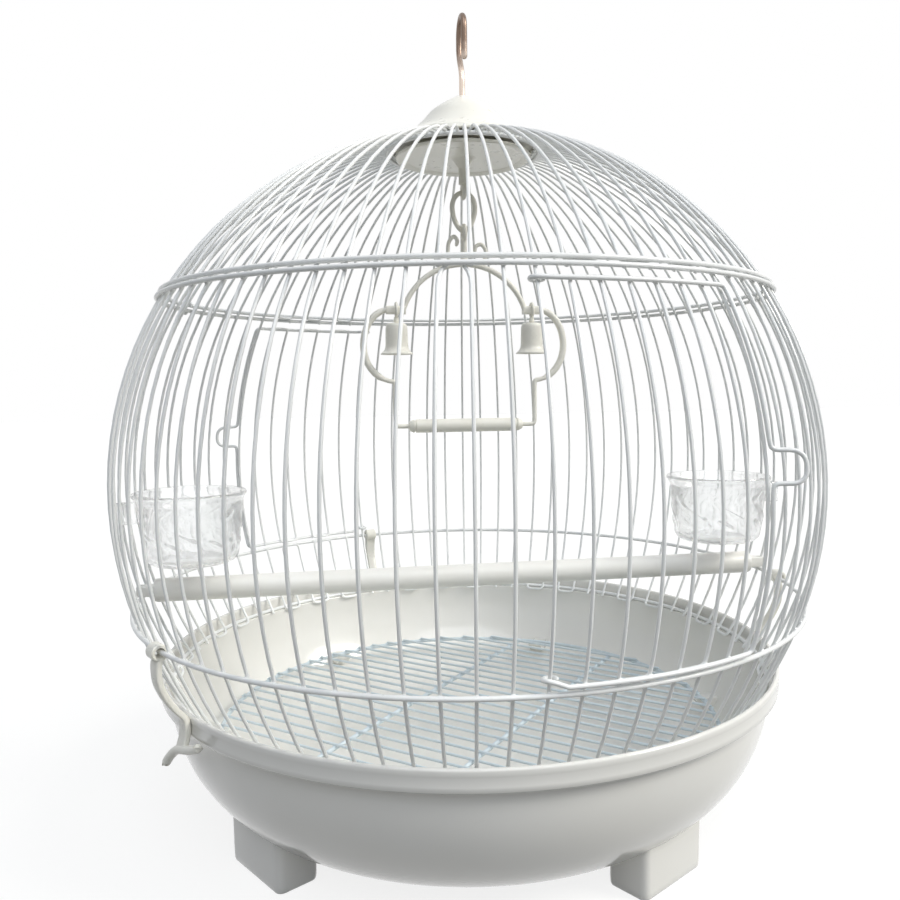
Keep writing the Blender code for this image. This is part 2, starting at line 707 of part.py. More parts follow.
def beside(line, offset):
    """Line at an even distance to the left of a bent line."""
    moved = []
    for i, (across, up) in enumerate(line):
        before = line[max(i - 1, 0)]
        after = line[min(i + 1, len(line) - 1)]
        run = Vector((after[0] - before[0], after[1] - before[1])).normalized()
        moved.append((across - run.y * offset, up + run.x * offset))
    return moved


# Perch and cups

def build_perch(moulded):
    """Straight rod whose forked ends grip one bar on each side."""
    reach = bar_reach(PERCH_Z)
    perch = rod("perch", PERCH_DIAMETER / 2, 2 * (reach - PERCH_SETBACK), (0.0, 0.0, PERCH_Z),
                14, moulded, axis="X")
    tools, cuts = [], []
    end = reach + FORK_PAST
    for side, name in ((-1.0, "left"), (1.0, "right")):
        size = (FORK_LENGTH, FORK_WIDTH, FORK_HEIGHT)
        centre = (side * (end - FORK_LENGTH / 2), 0.0, PERCH_Z)
        tools.append(block(f"fork_guide_{name}", size, centre))
        size = ((FORK_PAST + FORK_THROAT) * 2, BAR_DIAMETER + 2 * GAP, FORK_HEIGHT * 2)
        cuts.append(block(f"fork_slot_{name}", size, (side * end, 0.0, PERCH_Z)))
    combine(perch, tools, "UNION")
    combine(perch, cuts, "DIFFERENCE")


def cup_profile():
    """Profile of a cup: down its outside, under it and up its inside."""
    top, foot = CUP_HEIGHT, 0.0
    slope = (CUP_TOP_RADIUS - CUP_BASE_RADIUS) / CUP_HEIGHT
    outer_low = CUP_BASE_RADIUS + slope * CUP_CORNER
    inner_low = outer_low - CUP_WALL
    flange = CUP_TOP_RADIUS + CUP_FLANGE
    return [(CUP_TOP_RADIUS - CUP_WALL, top), (flange, top), (flange, top - CUP_WALL),
            (CUP_TOP_RADIUS, top - 2 * CUP_WALL), (outer_low, CUP_CORNER),
            (outer_low - 0.0018, 0.0018), (outer_low - CUP_CORNER, foot), (0.0, foot),
            (0.0, CUP_WALL), (inner_low - CUP_CORNER * 0.8, CUP_WALL),
            (inner_low, CUP_CORNER + 0.0005), (CUP_TOP_RADIUS - CUP_WALL, top)]


def build_cups(clear):
    """Two clear cups, each with a block that slips over one bar."""
    centre_x = bar_reach(CUP_CLIP_Z) - CUP_SETBACK
    clip_start = CUP_TOP_RADIUS - CUP_WALL / 2
    clip_end = CUP_SETBACK + CUP_CLIP_PAST
    length = clip_end - clip_start
    slot_length = (CUP_CLIP_PAST + CUP_CLIP_THROAT) * 2
    rise = CUP_CLIP_Z - CUP_BASE_Z
    for side, name in ((-1.0, "cup_left"), (1.0, "cup_right")):
        carrier = pivot(name + "_pivot", (side * centre_x, 0.0, CUP_BASE_Z))
        cup = lathe(name, cup_profile(), 24, clear, carrier)
        size = (length, CUP_CLIP_WIDTH, CUP_CLIP_HEIGHT)
        clip = block(name + "_clip", size, (side * (clip_start + clip_end) / 2, 0.0, rise),
                     parent=carrier)
        size = (slot_length, BAR_DIAMETER + 2 * GAP, CUP_CLIP_HEIGHT * 2)
        slot = block(name + "_slot", size, (side * clip_end, 0.0, rise), parent=carrier)
        combine(cup, [clip], "UNION")
        combine(cup, [slot], "DIFFERENCE")


# Crown and hook

def build_cap(moulded):
    """Bell-shaped cap over the ends of the bars, with a bore for the hook."""
    bore = HOOK_DIAMETER / 2 + GAP
    shape = ((0.080, 1.0), (0.125, 0.975), (0.340, 0.84), (0.500, 0.69), (0.615, 0.47),
             (0.750, 0.27), (0.955, 0.12), (1.0, 0.0))
    outer = [(wide * CAP_RADIUS, CAP_FOOT_Z + high * CAP_HEIGHT) for wide, high in shape]
    inner = [(radius, max(height, CAP_FOOT_Z))
             for radius, height in reversed(beside(outer, -CAP_WALL)[2:])]
    ceiling = [(HANGER_TUBE_RADIUS + 0.0010, CAP_CEILING_Z), (bore, CAP_CEILING_Z),
               (bore, CAP_TOP_Z)]
    lathe("cap", outer + inner + ceiling + outer[:1], 32, moulded)


def build_hook(steel):
    """Swivel hook in the cap, held by a nut under the cap's top."""
    carrier = pivot("hook_pivot", (0.0, 0.0, CAP_TOP_Z))
    bow = HOOK_BOW_RADIUS
    bow_rise = HOOK_HEIGHT - HOOK_DIAMETER / 2 - bow
    nut_top = -CAP_ROOF - GAP
    path = [Vector((0.0, across, rise)) for across, rise in (
        (0.0, nut_top - NUT_HEIGHT - HOOK_TAIL), (0.0, HOOK_NECK_RISE),
        (bow * 0.25, HOOK_NECK_RISE + 0.0050), (bow * 0.80, HOOK_SHOULDER_RISE),
        (bow, HOOK_SHOULDER_RISE + 0.0050))]
    path += circle(bow, (0.0, 0.0, bow_rise), 8, "YZ", 0.0, 180.0)
    path.append(Vector((0.0, -bow, HOOK_TIP_RISE)))
    wire("hook", path, HOOK_DIAMETER, steel, carrier, sides=8)
    centre = (0.0, 0.0, nut_top - NUT_HEIGHT / 2)
    nut = rod("hook_nut", NUT_RADIUS, NUT_HEIGHT, centre, 6, steel, carrier)
    bore = rod("nut_bore", HOOK_DIAMETER / 2 + GAP, NUT_HEIGHT * 2, centre, 12, parent=carrier)
    combine(nut, [bore], "DIFFERENCE")


def build_hanger(moulded):
    """Disc inside the crown with a tube up to the cap and a stem with an eye."""
    inner = HANGER_TUBE_RADIUS - HANGER_TUBE_WALL
    tube_top = CAP_CEILING_Z - GAP
    top = HANGER_Z + HANGER_THICKNESS
    stem = HANGER_STEM_DIAMETER / 2
    neck = HANGER_EYE_Z + EYE_RADIUS
    profile = [(0.0, top + 0.0005), (inner, top + 0.0005), (inner, tube_top),
               (HANGER_TUBE_RADIUS, tube_top), (HANGER_TUBE_RADIUS, top + 0.002),
               (HANGER_TUBE_RADIUS + 0.002, top), (HANGER_RADIUS - 0.0006, top),
               (HANGER_RADIUS, top - 0.0006), (HANGER_RADIUS, HANGER_Z),
               (HANGER_BOSS_RADIUS, HANGER_Z), (stem + 0.0011, HANGER_Z - 0.0030),
               (stem, HANGER_Z - 0.0040),
               (stem, neck), (0.0, neck)]
    hanger = lathe("hanger", profile, 24, moulded)
    eye = wire("hanger_eye", circle(EYE_RADIUS, (0.0, 0.0, HANGER_EYE_Z), 12, "YZ"),
               EYE_DIAMETER, None, closed=True, sides=8)
    combine(hanger, [as_mesh(eye)], "UNION")


def link_heights():
    """Height of the link's wire at its top and bottom."""
    seat = HANGER_EYE_Z - EYE_RADIUS + EYE_DIAMETER / 2
    return seat + GAP + LINK_DIAMETER / 2, LINK_FOOT_Z


def build_link(moulded):
    """Closed egg-shaped link between the hanger and the swing."""
    top, foot = link_heights()
    carrier = pivot("link_pivot", (0.0, 0.0, HANGER_EYE_Z - EYE_RADIUS))
    middle, half = (top + foot) / 2, (top - foot) / 2
    path = []
    for step in range(LINK_POINTS):
        turn = math.tau * step / LINK_POINTS
        width = LINK_HALF_WIDTH * (1.0 + LINK_TAPER * math.cos(turn))
        height = middle + half * math.cos(turn)
        path.append(Vector((width * math.sin(turn), 0.0, height)) - carrier.location)
    wire("hanger_link", path, LINK_DIAMETER, moulded, carrier, closed=True, sides=6)


# Swing

def swing_path():
    """The swing's frame as one line, from the left pin to the right one."""
    arch_radius = (ARCH_HALF_WIDTH ** 2 + ARCH_RISE ** 2) / (2 * ARCH_RISE)
    half_turn = math.degrees(math.asin(ARCH_HALF_WIDTH / arch_radius))
    arch = circle(arch_radius, (0.0, 0.0, ARCH_TOP_Z - arch_radius), 8, "XZ",
                  90.0, -half_turn)
    ear_half = EAR_HEIGHT / 2
    ear_middle = EAR_FOOT_Z + ear_half
    ear = []
    for turn in spread(90.0, -90.0, 8):
        angle = math.radians(turn)
        base = EAR_X if turn > 0.0 else LEG_X
        ear.append(Vector((base + (EAR_REACH - base) * math.cos(angle), 0.0,
                           ear_middle + ear_half * math.sin(angle))))
    leg = [Vector((LEG_X, 0.0, SWING_PERCH_Z)), Vector((SWING_PIN_END, 0.0, SWING_PERCH_Z))]
    right = arch + ear + leg
    left = [Vector((-point.x, 0.0, point.z)) for point in reversed(right[1:])]
    return left + right


def build_swing(moulded):
    """Swing frame with an eye and two curls, its perch and two bells."""
    top_z = LINK_FOOT_Z + LINK_DIAMETER / 2 + GAP + EYE_DIAMETER / 2
    eye_z = top_z - EYE_RADIUS
    carrier = pivot("swing_pivot", (0.0, 0.0, LINK_FOOT_Z))
    shift = carrier.location
    frame = as_mesh(wire("swing_frame", [point - shift for point in swing_path()],
                         SWING_WIRE_DIAMETER, moulded, carrier, sides=6))
    eye_points = circle(EYE_RADIUS, Vector((0.0, 0.0, eye_z)) - shift, 12, "YZ")
    eye = as_mesh(wire("swing_eye", eye_points, EYE_DIAMETER, None, carrier, closed=True, sides=6))
    neck_top = eye_z - EYE_RADIUS
    neck = rod("swing_neck", 0.0017, neck_top - ARCH_TOP_Z,
               Vector((0.0, 0.0, (neck_top + ARCH_TOP_Z) / 2)) - shift, 10, parent=carrier)
    curls = []
    for name, shape in (("swing_curl_left", CURL_LEFT), ("swing_curl_right", CURL_RIGHT)):
        line = [Vector((across, 0.0, ARCH_TOP_Z + rise)) - shift for across, rise in shape]
        curls.append(as_mesh(wire(name, line, CURL_DIAMETER, None, carrier, sides=6)))
    combine(frame, [eye, neck] + curls, "UNION")
    build_swing_perch(moulded, carrier)
    for side, name in ((-1.0, "bell_left"), (1.0, "bell_right")):
        build_bell(name, side * BELL_X, moulded)


def build_swing_perch(moulded, carrier):
    """Turned rod between the swing's legs, with a bore for a pin in each end."""
    radius = SWING_PERCH_DIAMETER / 2
    bore = SWING_WIRE_DIAMETER / 2 + GAP
    bottom = SWING_PIN_END - GAP
    half = [(0.0, bottom), (bore, bottom), (bore, SWING_PERCH_END),
            (bore + 0.0009, SWING_PERCH_END), (radius, SWING_PERCH_STRAIGHT)]
    mirror = [(reach, -place) for reach, place in reversed(half)]
    item = lathe("swing_perch", half + mirror, 12, moulded, carrier, along_x=True)
    item.location = Vector((0.0, 0.0, SWING_PERCH_Z)) - carrier.location


def build_bell(name, place, moulded):
    """Small hollow bell with an eye round the swing's wire."""
    carrier = pivot(name + "_pivot", (place, 0.0, ARCH_FOOT_Z))
    top = -BELL_DROP
    shape = ((0.0, 0.0), (0.33, 0.0), (0.69, 0.08), (0.79, 0.30), (0.84, 0.72), (1.0, 1.0))
    outer = [(wide * BELL_FOOT_RADIUS, top - deep * BELL_HEIGHT) for wide, deep in shape]
    shape = ((1.0, 1.0), (0.84, 0.70), (0.79, 0.32), (0.68, 0.17))
    inner = [(wide * BELL_FOOT_RADIUS - BELL_WALL, top - deep * BELL_HEIGHT)
             for wide, deep in shape]
    inner.append((0.0, top - 0.15 * BELL_HEIGHT))
    bell = lathe(name, outer + inner, 16, moulded, carrier)
    bore = SWING_WIRE_DIAMETER / 2 + GAP
    eye = wire(name + "_eye", circle(bore + 0.0009, (0.0, 0.0, 0.0), 10, "YZ"), 0.0016,
               None, carrier, closed=True)
    neck_top = -bore - 0.0006
    neck = rod(name + "_neck", 0.0012, neck_top - top + 0.0006,
               (0.0, 0.0, (neck_top + top - 0.0006) / 2), 8, parent=carrier)
    combine(bell, [as_mesh(eye), neck], "UNION")


clear_scene()
CAGE = new_collection("round_bird_cage")
GUIDES = new_collection("guides")

WHITE_WIRE = finish("white_coated_wire", (0.86, 0.87, 0.86), 0.35)
GRATE_WIRE = finish("white_coated_grate_wire", (0.70, 0.78, 0.79), 0.40)
TRAY_PLASTIC = finish("glossy_white_plastic", (0.80, 0.79, 0.74), 0.18)
IVORY_PLASTIC = finish("ivory_plastic", (0.83, 0.80, 0.69), 0.32)
PERCH_PLASTIC = finish("white_plastic", (0.86, 0.86, 0.82), 0.40)
CLEAR_PLASTIC = finish("clear_plastic", (0.92, 0.95, 0.95), 0.05, transmission=0.9)
PLATED_STEEL = finish("plated_steel", (0.42, 0.38, 0.35), 0.30, metallic=1.0)

build_panels(WHITE_WIRE)
build_stubs(WHITE_WIRE)
build_rings(WHITE_WIRE)
build_door("front_door", FRONT_DOOR_BAR, WHITE_WIRE)
build_door("rear_door", REAR_DOOR_BAR, WHITE_WIRE)
build_tray(TRAY_PLASTIC)
build_grate(GRATE_WIRE)
build_latches(IVORY_PLASTIC)
build_perch(PERCH_PLASTIC)
build_cups(CLEAR_PLASTIC)
build_cap(IVORY_PLASTIC)
build_hook(PLATED_STEEL)
build_hanger(IVORY_PLASTIC)
build_link(IVORY_PLASTIC)
build_swing(IVORY_PLASTIC)
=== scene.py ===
"""Looks of the round bird cage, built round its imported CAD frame.

Metres, +Z up, in the frame's own axes. The origin is on the floor under the
middle of the tray, +X runs along the perch and -Y is the side of the front
door. Azimuths are in degrees from -Y towards +X.
"""
import logging
import math
from dataclasses import dataclass
from enum import Enum
from typing import Any, Sequence

import bmesh
import bpy
from mathutils import Matrix, Quaternion, Vector


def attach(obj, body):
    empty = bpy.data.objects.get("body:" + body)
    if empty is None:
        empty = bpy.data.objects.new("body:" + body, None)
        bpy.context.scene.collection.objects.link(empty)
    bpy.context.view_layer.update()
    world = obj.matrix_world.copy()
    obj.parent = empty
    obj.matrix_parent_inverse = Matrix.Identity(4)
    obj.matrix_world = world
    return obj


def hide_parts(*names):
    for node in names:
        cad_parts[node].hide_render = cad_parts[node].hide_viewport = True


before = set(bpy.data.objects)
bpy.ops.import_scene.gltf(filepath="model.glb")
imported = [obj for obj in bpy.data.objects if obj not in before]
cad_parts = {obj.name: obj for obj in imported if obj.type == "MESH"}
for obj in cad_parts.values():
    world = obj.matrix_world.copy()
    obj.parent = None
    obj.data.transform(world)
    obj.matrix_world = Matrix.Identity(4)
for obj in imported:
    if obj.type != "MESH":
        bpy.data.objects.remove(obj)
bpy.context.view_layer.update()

# Turn in degrees from which a bar's bend is rounded
SHARP_TURN = 50.0
LOG = logging.getLogger("round_bird_cage")

Line = list[Vector]
Profile = list[tuple[float, float]]


# Names of the frame's bodies and of the record's material slots

class Body(Enum):
    """The rigid bodies that the pieces ride on."""

    TRAY = "tray"
    GRATE = "grate"
    CAGE = "cage"
    FRONT_DOOR = "front_door"
    REAR_DOOR = "rear_door"
    CUP_LEFT = "cup_left"
    CUP_RIGHT = "cup_right"
    HOOK = "hook"
    LINK = "link"
    SWING = "swing"
    BELL_LEFT = "bell_left"
    BELL_RIGHT = "bell_right"
    LATCH_1 = "latch_1"
    LATCH_2 = "latch_2"
    LATCH_3 = "latch_3"


class Slot(Enum):
    """The record's material slots."""

    TRAY = "tray_plastic"
    CAGE_WIRE = "cage_wire"
    GRATE_WIRE = "grate_wire"
    IVORY = "ivory_plastic"
    PERCH = "perch_plastic"
    CLEAR = "clear_plastic"
    STEEL = "hook_steel"


# Points and lines

def polar(radius: float, azimuth: float, height: float = 0.0) -> Vector:
    """Point at a radius and an azimuth.

    Args:
        radius: Distance from the cage's axis.
        azimuth: Degrees from -Y towards +X.
        height: Its height over the floor.

    Returns:
        The point.
    """
    turn = math.radians(azimuth)
    return Vector((radius * math.sin(turn), -radius * math.cos(turn), height))


def spread(start: float, end: float, steps: int) -> list[float]:
    """Evenly spaced values.

    Args:
        start: First value.
        end: Last value.
        steps: Number of steps between them.

    Returns:
        The values, both ends included.
    """
    return [start + (end - start) * i / steps for i in range(steps + 1)]


def arc(centre: Vector, along: Vector, across: Vector, start: float, end: float,
        steps: int) -> Line:
    """Points on an arc or an ellipse.

    Args:
        centre: Middle of the arc.
        along: Its radius at 0 degrees.
        across: Its radius at 90 degrees.
        start: First angle in degrees.
        end: Last angle in degrees.
        steps: Number of runs between the points.

    Returns:
        The points, both ends included.
    """
    turns = [math.radians(turn) for turn in spread(start, end, steps)]
    return [centre + along * math.cos(turn) + across * math.sin(turn) for turn in turns]


def hoop(centre: Vector, along: Vector, across: Vector, steps: int) -> Line:
    """Points round a whole circle or ellipse.

    Args:
        centre: Its middle.
        along: Its radius at 0 degrees.
        across: Its radius at 90 degrees.
        steps: Number of points.

    Returns:
        The points, without the first one again at the end.
    """
    return arc(centre, along, across, 0.0, 360.0, steps)[:-1]


def fillet(corners: Line, radius: float, steps: int = 5) -> Line:
    """Round the inner corners of a line.

    Args:
        corners: The line's points.
        radius: How far from each corner the rounding starts.
        steps: Runs in each rounded corner.

    Returns:
        The rounded line.
    """
    line = [corners[0]]
    for before, corner, after in zip(corners, corners[1:], corners[2:]):
        back, ahead = before - corner, after - corner
        one = corner + back.normalized() * min(radius, back.length * 0.45)
        two = corner + ahead.normalized() * min(radius, ahead.length * 0.45)
        for share in spread(0.0, 1.0, steps):
            line.append(one * (1 - share) ** 2 + corner * 2 * share * (1 - share) + two * share ** 2)
    line.append(corners[-1])
    return line


def eased(line: Line, sharp: float, bend: float) -> Line:
    """Round the corners where a wire turns sharply.

    Args:
        line: The wire's middle.
        sharp: Turn in degrees from which a corner is rounded.
        bend: How far from each corner the rounding starts.

    Returns:
        The wire's middle with rounded corners.
    """
    out = [line[0]]
    for before, corner, after in zip(line, line[1:], line[2:]):
        if math.degrees((corner - before).angle(after - corner)) > sharp:
            out += fillet([before, corner, after], bend, 4)[1:-1]
        else:
            out.append(corner)
    return out + [line[-1]]


def flowing(points: Line, steps: int = 6) -> Line:
    """Smooth line through points.

    Args:
        points: The points that the line passes.
        steps: Runs between two of them.

    Returns:
        The smooth line.
    """
    padded = [points[0] * 2 - points[1], *points, points[-1] * 2 - points[-2]]
    line = []
    for a, b, c, d in zip(padded, padded[1:], padded[2:], padded[3:]):
        for i in range(steps):
            t = i / steps
            line.append(0.5 * (2 * b + (c - a) * t + (2 * a - 5 * b + 4 * c - d) * t ** 2
                               + (3 * b - a - 3 * c + d) * t ** 3))
    line.append(points[-1])
    return line


def flat(points: Sequence[tuple[float, float]]) -> Line:
    """Points of a profile as vectors in X and Z."""
    return [Vector((across, 0.0, up)) for across, up in points]


def as_profile(line: Line) -> Profile:
    """Radius and height of points in X and Z."""
    return [(point.x, point.z) for point in line]


def round_ends(line: Line, radius: float) -> tuple[Line, list[float]]:
    """Give a tube's line rounded ends.

    Args:
        line: The tube's middle, whose ends become the tips.
        radius: The tube's radius.

    Returns:
        The line with extra points at both ends, and the radius at each point.
    """
    points, radii = list(line), [radius] * len(line)
    for end in (0, -1):
        tip = points[end]
        inward = (points[1 if end == 0 else -2] - tip).normalized()
        points[end] = tip + inward * radius
        for turn in (25.0, 50.0, 70.0, 84.0):
            angle = math.radians(turn)
            spot = tip + inward * radius * (1.0 - math.sin(angle))
            place = 0 if end == 0 else len(points)
            points.insert(place, spot)
            radii.insert(place, radius * math.cos(angle))
    return points, radii


# Meshes

class Shape:
    """Mesh in the making, from rings of points that faces join."""

    def __init__(self) -> None:
        """Start with an empty mesh."""
        self.mesh = bmesh.new()

    def loft(self, rings: Sequence[Line], closed: bool = False) -> "Shape":
        """Join rings of points in turn.

        Args:
            rings: Rings with equal counts, or single points for poles.
            closed: Whether the last ring joins the first one.

        Returns:
            This shape, for the next call.
        """
        made = [[self.mesh.verts.new(point) for point in ring] for ring in rings]
        pairs = list(zip(made, made[1:]))
        if closed:
            pairs.append((made[-1], made[0]))
        for one, two in pairs:
            count = max(len(one), len(two))
            for i in range(count):
                j = (i + 1) % count
                corners = [one[i % len(one)], one[j % len(one)], two[j % len(two)], two[i % len(two)]]
                self.mesh.faces.new(list(dict.fromkeys(corners)))
        if not closed:
            for ring in (made[0], made[-1]):
                if len(ring) > 2:
                    self.mesh.faces.new(ring)
        return self

    def turned(self, profile: Profile, steps: int, place: Matrix | None = None,
               closed: bool = False) -> "Shape":
        """Turn a profile of radius and height round Z.

        Args:
            profile: The profile, from one end to the other.
            steps: Number of steps round the axis.
            place: Where the turned body stands.
            closed: Whether the profile is a closed loop.

        Returns:
            This shape, for the next call.
        """
        place = place or Matrix()
        rings = []
        for radius, height in profile:
            if radius < 1e-6:
                rings.append([place @ Vector((0.0, 0.0, height))])
            else:
                rings.append([place @ Vector((radius * math.cos(turn), radius * math.sin(turn), height))
                              for turn in spread(0.0, math.tau, steps)[:-1]])
        return self.loft(rings, closed)

    def tube(self, line: Line, radii: float | Sequence[float], sides: int = 8,
             closed: bool = False) -> "Shape":
        """Round tube along a line.

        Args:
            line: The tube's middle.
            radii: One radius, or the radius at each point.
            sides: Corners round the tube.
            closed: Whether the line's end joins its start.

        Returns:
            This shape, for the next call.
        """
        count = len(line)
        if isinstance(radii, float):
            radii = [radii] * count
        runs = [(line[(i + 1) % count] - line[i]).normalized() for i in range(count)]
        if not closed:
            runs[-1] = runs[-2]
        ways = [(runs[i] + (runs[i - 1] if i or closed else runs[i])).normalized()
                for i in range(count)]
        normals = [ways[0].orthogonal().normalized()]
        for before, here in zip(ways, ways[1:]):
            turned = before.rotation_difference(here) @ normals[-1]
            normals.append((turned - here * turned.dot(here)).normalized())
        slip = 0.0
        if closed:
            last = ways[-1].rotation_difference(ways[0]) @ normals[-1]
            slip = math.atan2(last.cross(normals[0]).dot(ways[0]), last.dot(normals[0]))
        rings = []
        for i, (spot, way, normal, radius) in enumerate(zip(line, ways, normals, radii)):
            out = Quaternion(way, slip * i / count) @ normal
            side = way.cross(out)
            rings.append([spot + (out * math.cos(turn) + side * math.sin(turn)) * radius
                          for turn in spread(0.0, math.tau, sides)[:-1]])
        return self.loft(rings, closed)

    def slab(self, outline: Profile, thickness: float, edge: float, place: Matrix) -> "Shape":
        """Flat outline with thickness and rounded edges.

        Args:
            outline: Corners in the slab's own X and Y, anticlockwise.
            thickness: Its thickness along its own Z, about the middle.
            edge: Size of the rounding.
            place: Where the slab stands.

        Returns:
            This shape, for the next call.
        """
        half = thickness / 2
        rings = []
        for shrink, height in ((edge, -half), (edge * 0.3, -half + edge * 0.3), (0.0, -half + edge),
                               (0.0, half - edge), (edge * 0.3, half - edge * 0.3), (edge, half)):
            rings.append([place @ Vector((across, up, height))
                          for across, up in drawn_in(outline, shrink)])
        return self.loft(rings)

    def ribbon(self, line: Line, widths: Sequence[float], thickness: float,
               side: Vector) -> "Shape":
        """Flat strip along a line in one plane.

        Args:
            line: The strip's middle.
            widths: Its width at each point.
            thickness: Its thickness, in the plane of the line.
            side: Direction of its width, square to that plane.

        Returns:
            This shape, for the next call.
        """
        rings = []
        for i, (spot, width) in enumerate(zip(line, widths)):
            way = (line[min(i + 1, len(line) - 1)] - line[max(i - 1, 0)]).normalized()
            out = way.cross(side)
            rings.append([spot + side * (width / 2 * a) + out * (thickness / 2 * b)
                          for a, b in ROUNDED_SECTION])
        return self.loft(rings)

    def bead(self, centre: Vector, out: Vector, wide: float, deep: float) -> "Shape":
        """Small flattened ball, such as the coating over a weld.

        Args:
            centre: Its middle.
            out: Direction in which it is flattened.
            wide: Its radius across.
            deep: Its radius along out.

        Returns:
            This shape, for the next call.
        """
        out = out.normalized()
        one = out.orthogonal().normalized()
        two = out.cross(one)
        rings: list[Line] = [[centre - out * deep]]
        for turn in (-45.0, 0.0, 45.0):
            reach, lift = math.cos(math.radians(turn)) * wide, math.sin(math.radians(turn)) * deep
            rings.append(hoop(centre + out * lift, one * reach, two * reach, 8))
        rings.append([centre + out * deep])
        return self.loft(rings)

    def finished(self, name: str, sharp: float = 38.0) -> bpy.types.Object:
        """Make the object.

        Args:
            name: The piece's name.
            sharp: Angle in degrees from which an edge stays sharp.

        Returns:
            The object, linked to the scene.
        """
        bmesh.ops.recalc_face_normals(self.mesh, faces=self.mesh.faces)
        data = bpy.data.meshes.new(name)
        self.mesh.to_mesh(data)
        self.mesh.free()
        data.shade_smooth()
        data.set_sharp_from_angle(angle=math.radians(sharp))
        item = bpy.data.objects.new(name, data)
        bpy.context.scene.collection.objects.link(item)
        return item


ROUNDED_SECTION = [(1.0, 0.45), (0.93, 0.8), (0.78, 1.0), (0.0, 1.0), (-0.78, 1.0), (-0.93, 0.8),
                   (-1.0, 0.45), (-1.0, -0.45), (-0.93, -0.8), (-0.78, -1.0), (0.0, -1.0),
                   (0.78, -1.0), (0.93, -0.8), (1.0, -0.45)]


def drawn_in(outline: Profile, depth: float) -> Profile:
    """Outline moved inwards all round by a small depth."""
    moved = []
    count = len(outline)
    for i, (x, y) in enumerate(outline):
        back = Vector((x - outline[i - 1][0], y - outline[i - 1][1])).normalized()
        ahead = Vector((outline[(i + 1) % count][0] - x, outline[(i + 1) % count][1] - y)).normalized()
        one, two = Vector((-back.y, back.x)), Vector((-ahead.y, ahead.x))
        step = (one + two) * depth / max(1.0 + one.dot(two), 0.3)
        moved.append((x + step.x, y + step.y))
    return moved


# Materials

def linear(code: str) -> tuple[float, float, float, float]:
    """Linear colour from an sRGB hex code."""
    parts = [int(code[i:i + 2], 16) / 255 for i in (1, 3, 5)]
    values = [part / 12.92 if part <= 0.04045 else ((part + 0.055) / 1.055) ** 2.4 for part in parts]
    return values[0], values[1], values[2], 1.0


def add(tree: bpy.types.NodeTree, kind: str, sockets: dict[str | int, Any] | None = None,
        **settings: Any) -> bpy.types.Node:
    """Add a node with its settings and links.

    Args:
        tree: The material's or world's node tree.
        kind: The node's type name.
        sockets: Values or linked output sockets by input name or number.
        **settings: Properties of the node itself.

    Returns:
        The node.
    """
    made = tree.nodes.new(kind)
    for name, value in settings.items():
        setattr(made, name, value)
    for name, value in (sockets or {}).items():
        if isinstance(value, bpy.types.NodeSocket):
            tree.links.new(value, made.inputs[name])
        else:
            made.inputs[name].default_value = value
    return made


def per_metre(size_mm: float) -> float:
    """Pattern scale for a feature of a size in millimetres."""
    return 1000.0 / size_mm


@dataclass(frozen=True)
class Surface:
    """What every finish shares: two tones in patches, uneven gloss and a fine grain."""

    name: str
    tone: str
    shade: str
    patch_mm: float = 30.0
    gloss: tuple[float, float] = (0.28, 0.40)
    gloss_mm: float = 8.0
    grain_mm: float = 1.0
    grain_depth_mm: float = 0.03
    stretch: tuple[float, float, float] = (1.0, 1.0, 1.0)

    def start(self) -> tuple[bpy.types.Material, bpy.types.NodeTree, bpy.types.Node]:
        """Make the material with its tones, gloss and grain.

        Returns:
            The material, its node tree and its Principled node.
        """
        made = bpy.data.materials.new(self.name)
        made.use_nodes = True
        tree = made.node_tree
        shader = tree.nodes["Principled BSDF"]
        place = add(tree, "ShaderNodeTexCoord").outputs["Object"]
        drawn = add(tree, "ShaderNodeMapping", {"Vector": place, "Scale": self.stretch}).outputs[0]
        patches = add(tree, "ShaderNodeTexNoise",
                      {"Vector": place, "Scale": per_metre(self.patch_mm), "Detail": 4.0})
        mix = add(tree, "ShaderNodeMix", {0: patches.outputs[0], 6: linear(self.tone),
                                          7: linear(self.shade)}, data_type="RGBA")
        sheen = add(tree, "ShaderNodeTexNoise",
                    {"Vector": drawn, "Scale": per_metre(self.gloss_mm), "Detail": 3.0})
        span = add(tree, "ShaderNodeMapRange",
                   {0: sheen.outputs[0], 1: 0.3, 2: 0.7, 3: self.gloss[0], 4: self.gloss[1]})
        grain = add(tree, "ShaderNodeTexNoise",
                    {"Vector": drawn, "Scale": per_metre(self.grain_mm), "Detail": 2.0})
        bump = add(tree, "ShaderNodeBump", {"Height": grain.outputs[0], "Strength": 0.5,
                                            "Distance": self.grain_depth_mm / 1000})
        tree.links.new(mix.outputs[2], shader.inputs["Base Color"])
        tree.links.new(span.outputs[0], shader.inputs["Roughness"])
        tree.links.new(bump.outputs[0], shader.inputs["Normal"])
        return made, tree, shader

    def made(self) -> bpy.types.Material:
        """Make the material."""
        return self.start()[0]


@dataclass(frozen=True)
class PowderCoatedWire(Surface):
    """Powder-coated steel wire: a thick satin skin with a soft orange peel."""

    def made(self) -> bpy.types.Material:
        """Make the material, with the coating's thin clear gloss."""
        made, _, shader = self.start()
        shader.inputs["Coat Weight"].default_value = 0.25
        shader.inputs["Coat Roughness"].default_value = 0.12
        shader.inputs["Specular IOR Level"].default_value = 0.5
        return made


@dataclass(frozen=True)
class MouldedPlastic(Surface):
    """Injection-moulded plastic: satin, with faint flow marks."""

    skin: float = 0.15

    def made(self) -> bpy.types.Material:
        """Make the material, with the glossier skin that the mould leaves."""
        made, _, shader = self.start()
        shader.inputs["Coat Weight"].default_value = self.skin
        shader.inputs["Coat Roughness"].default_value = 0.15
        shader.inputs["IOR"].default_value = 1.49
        return made


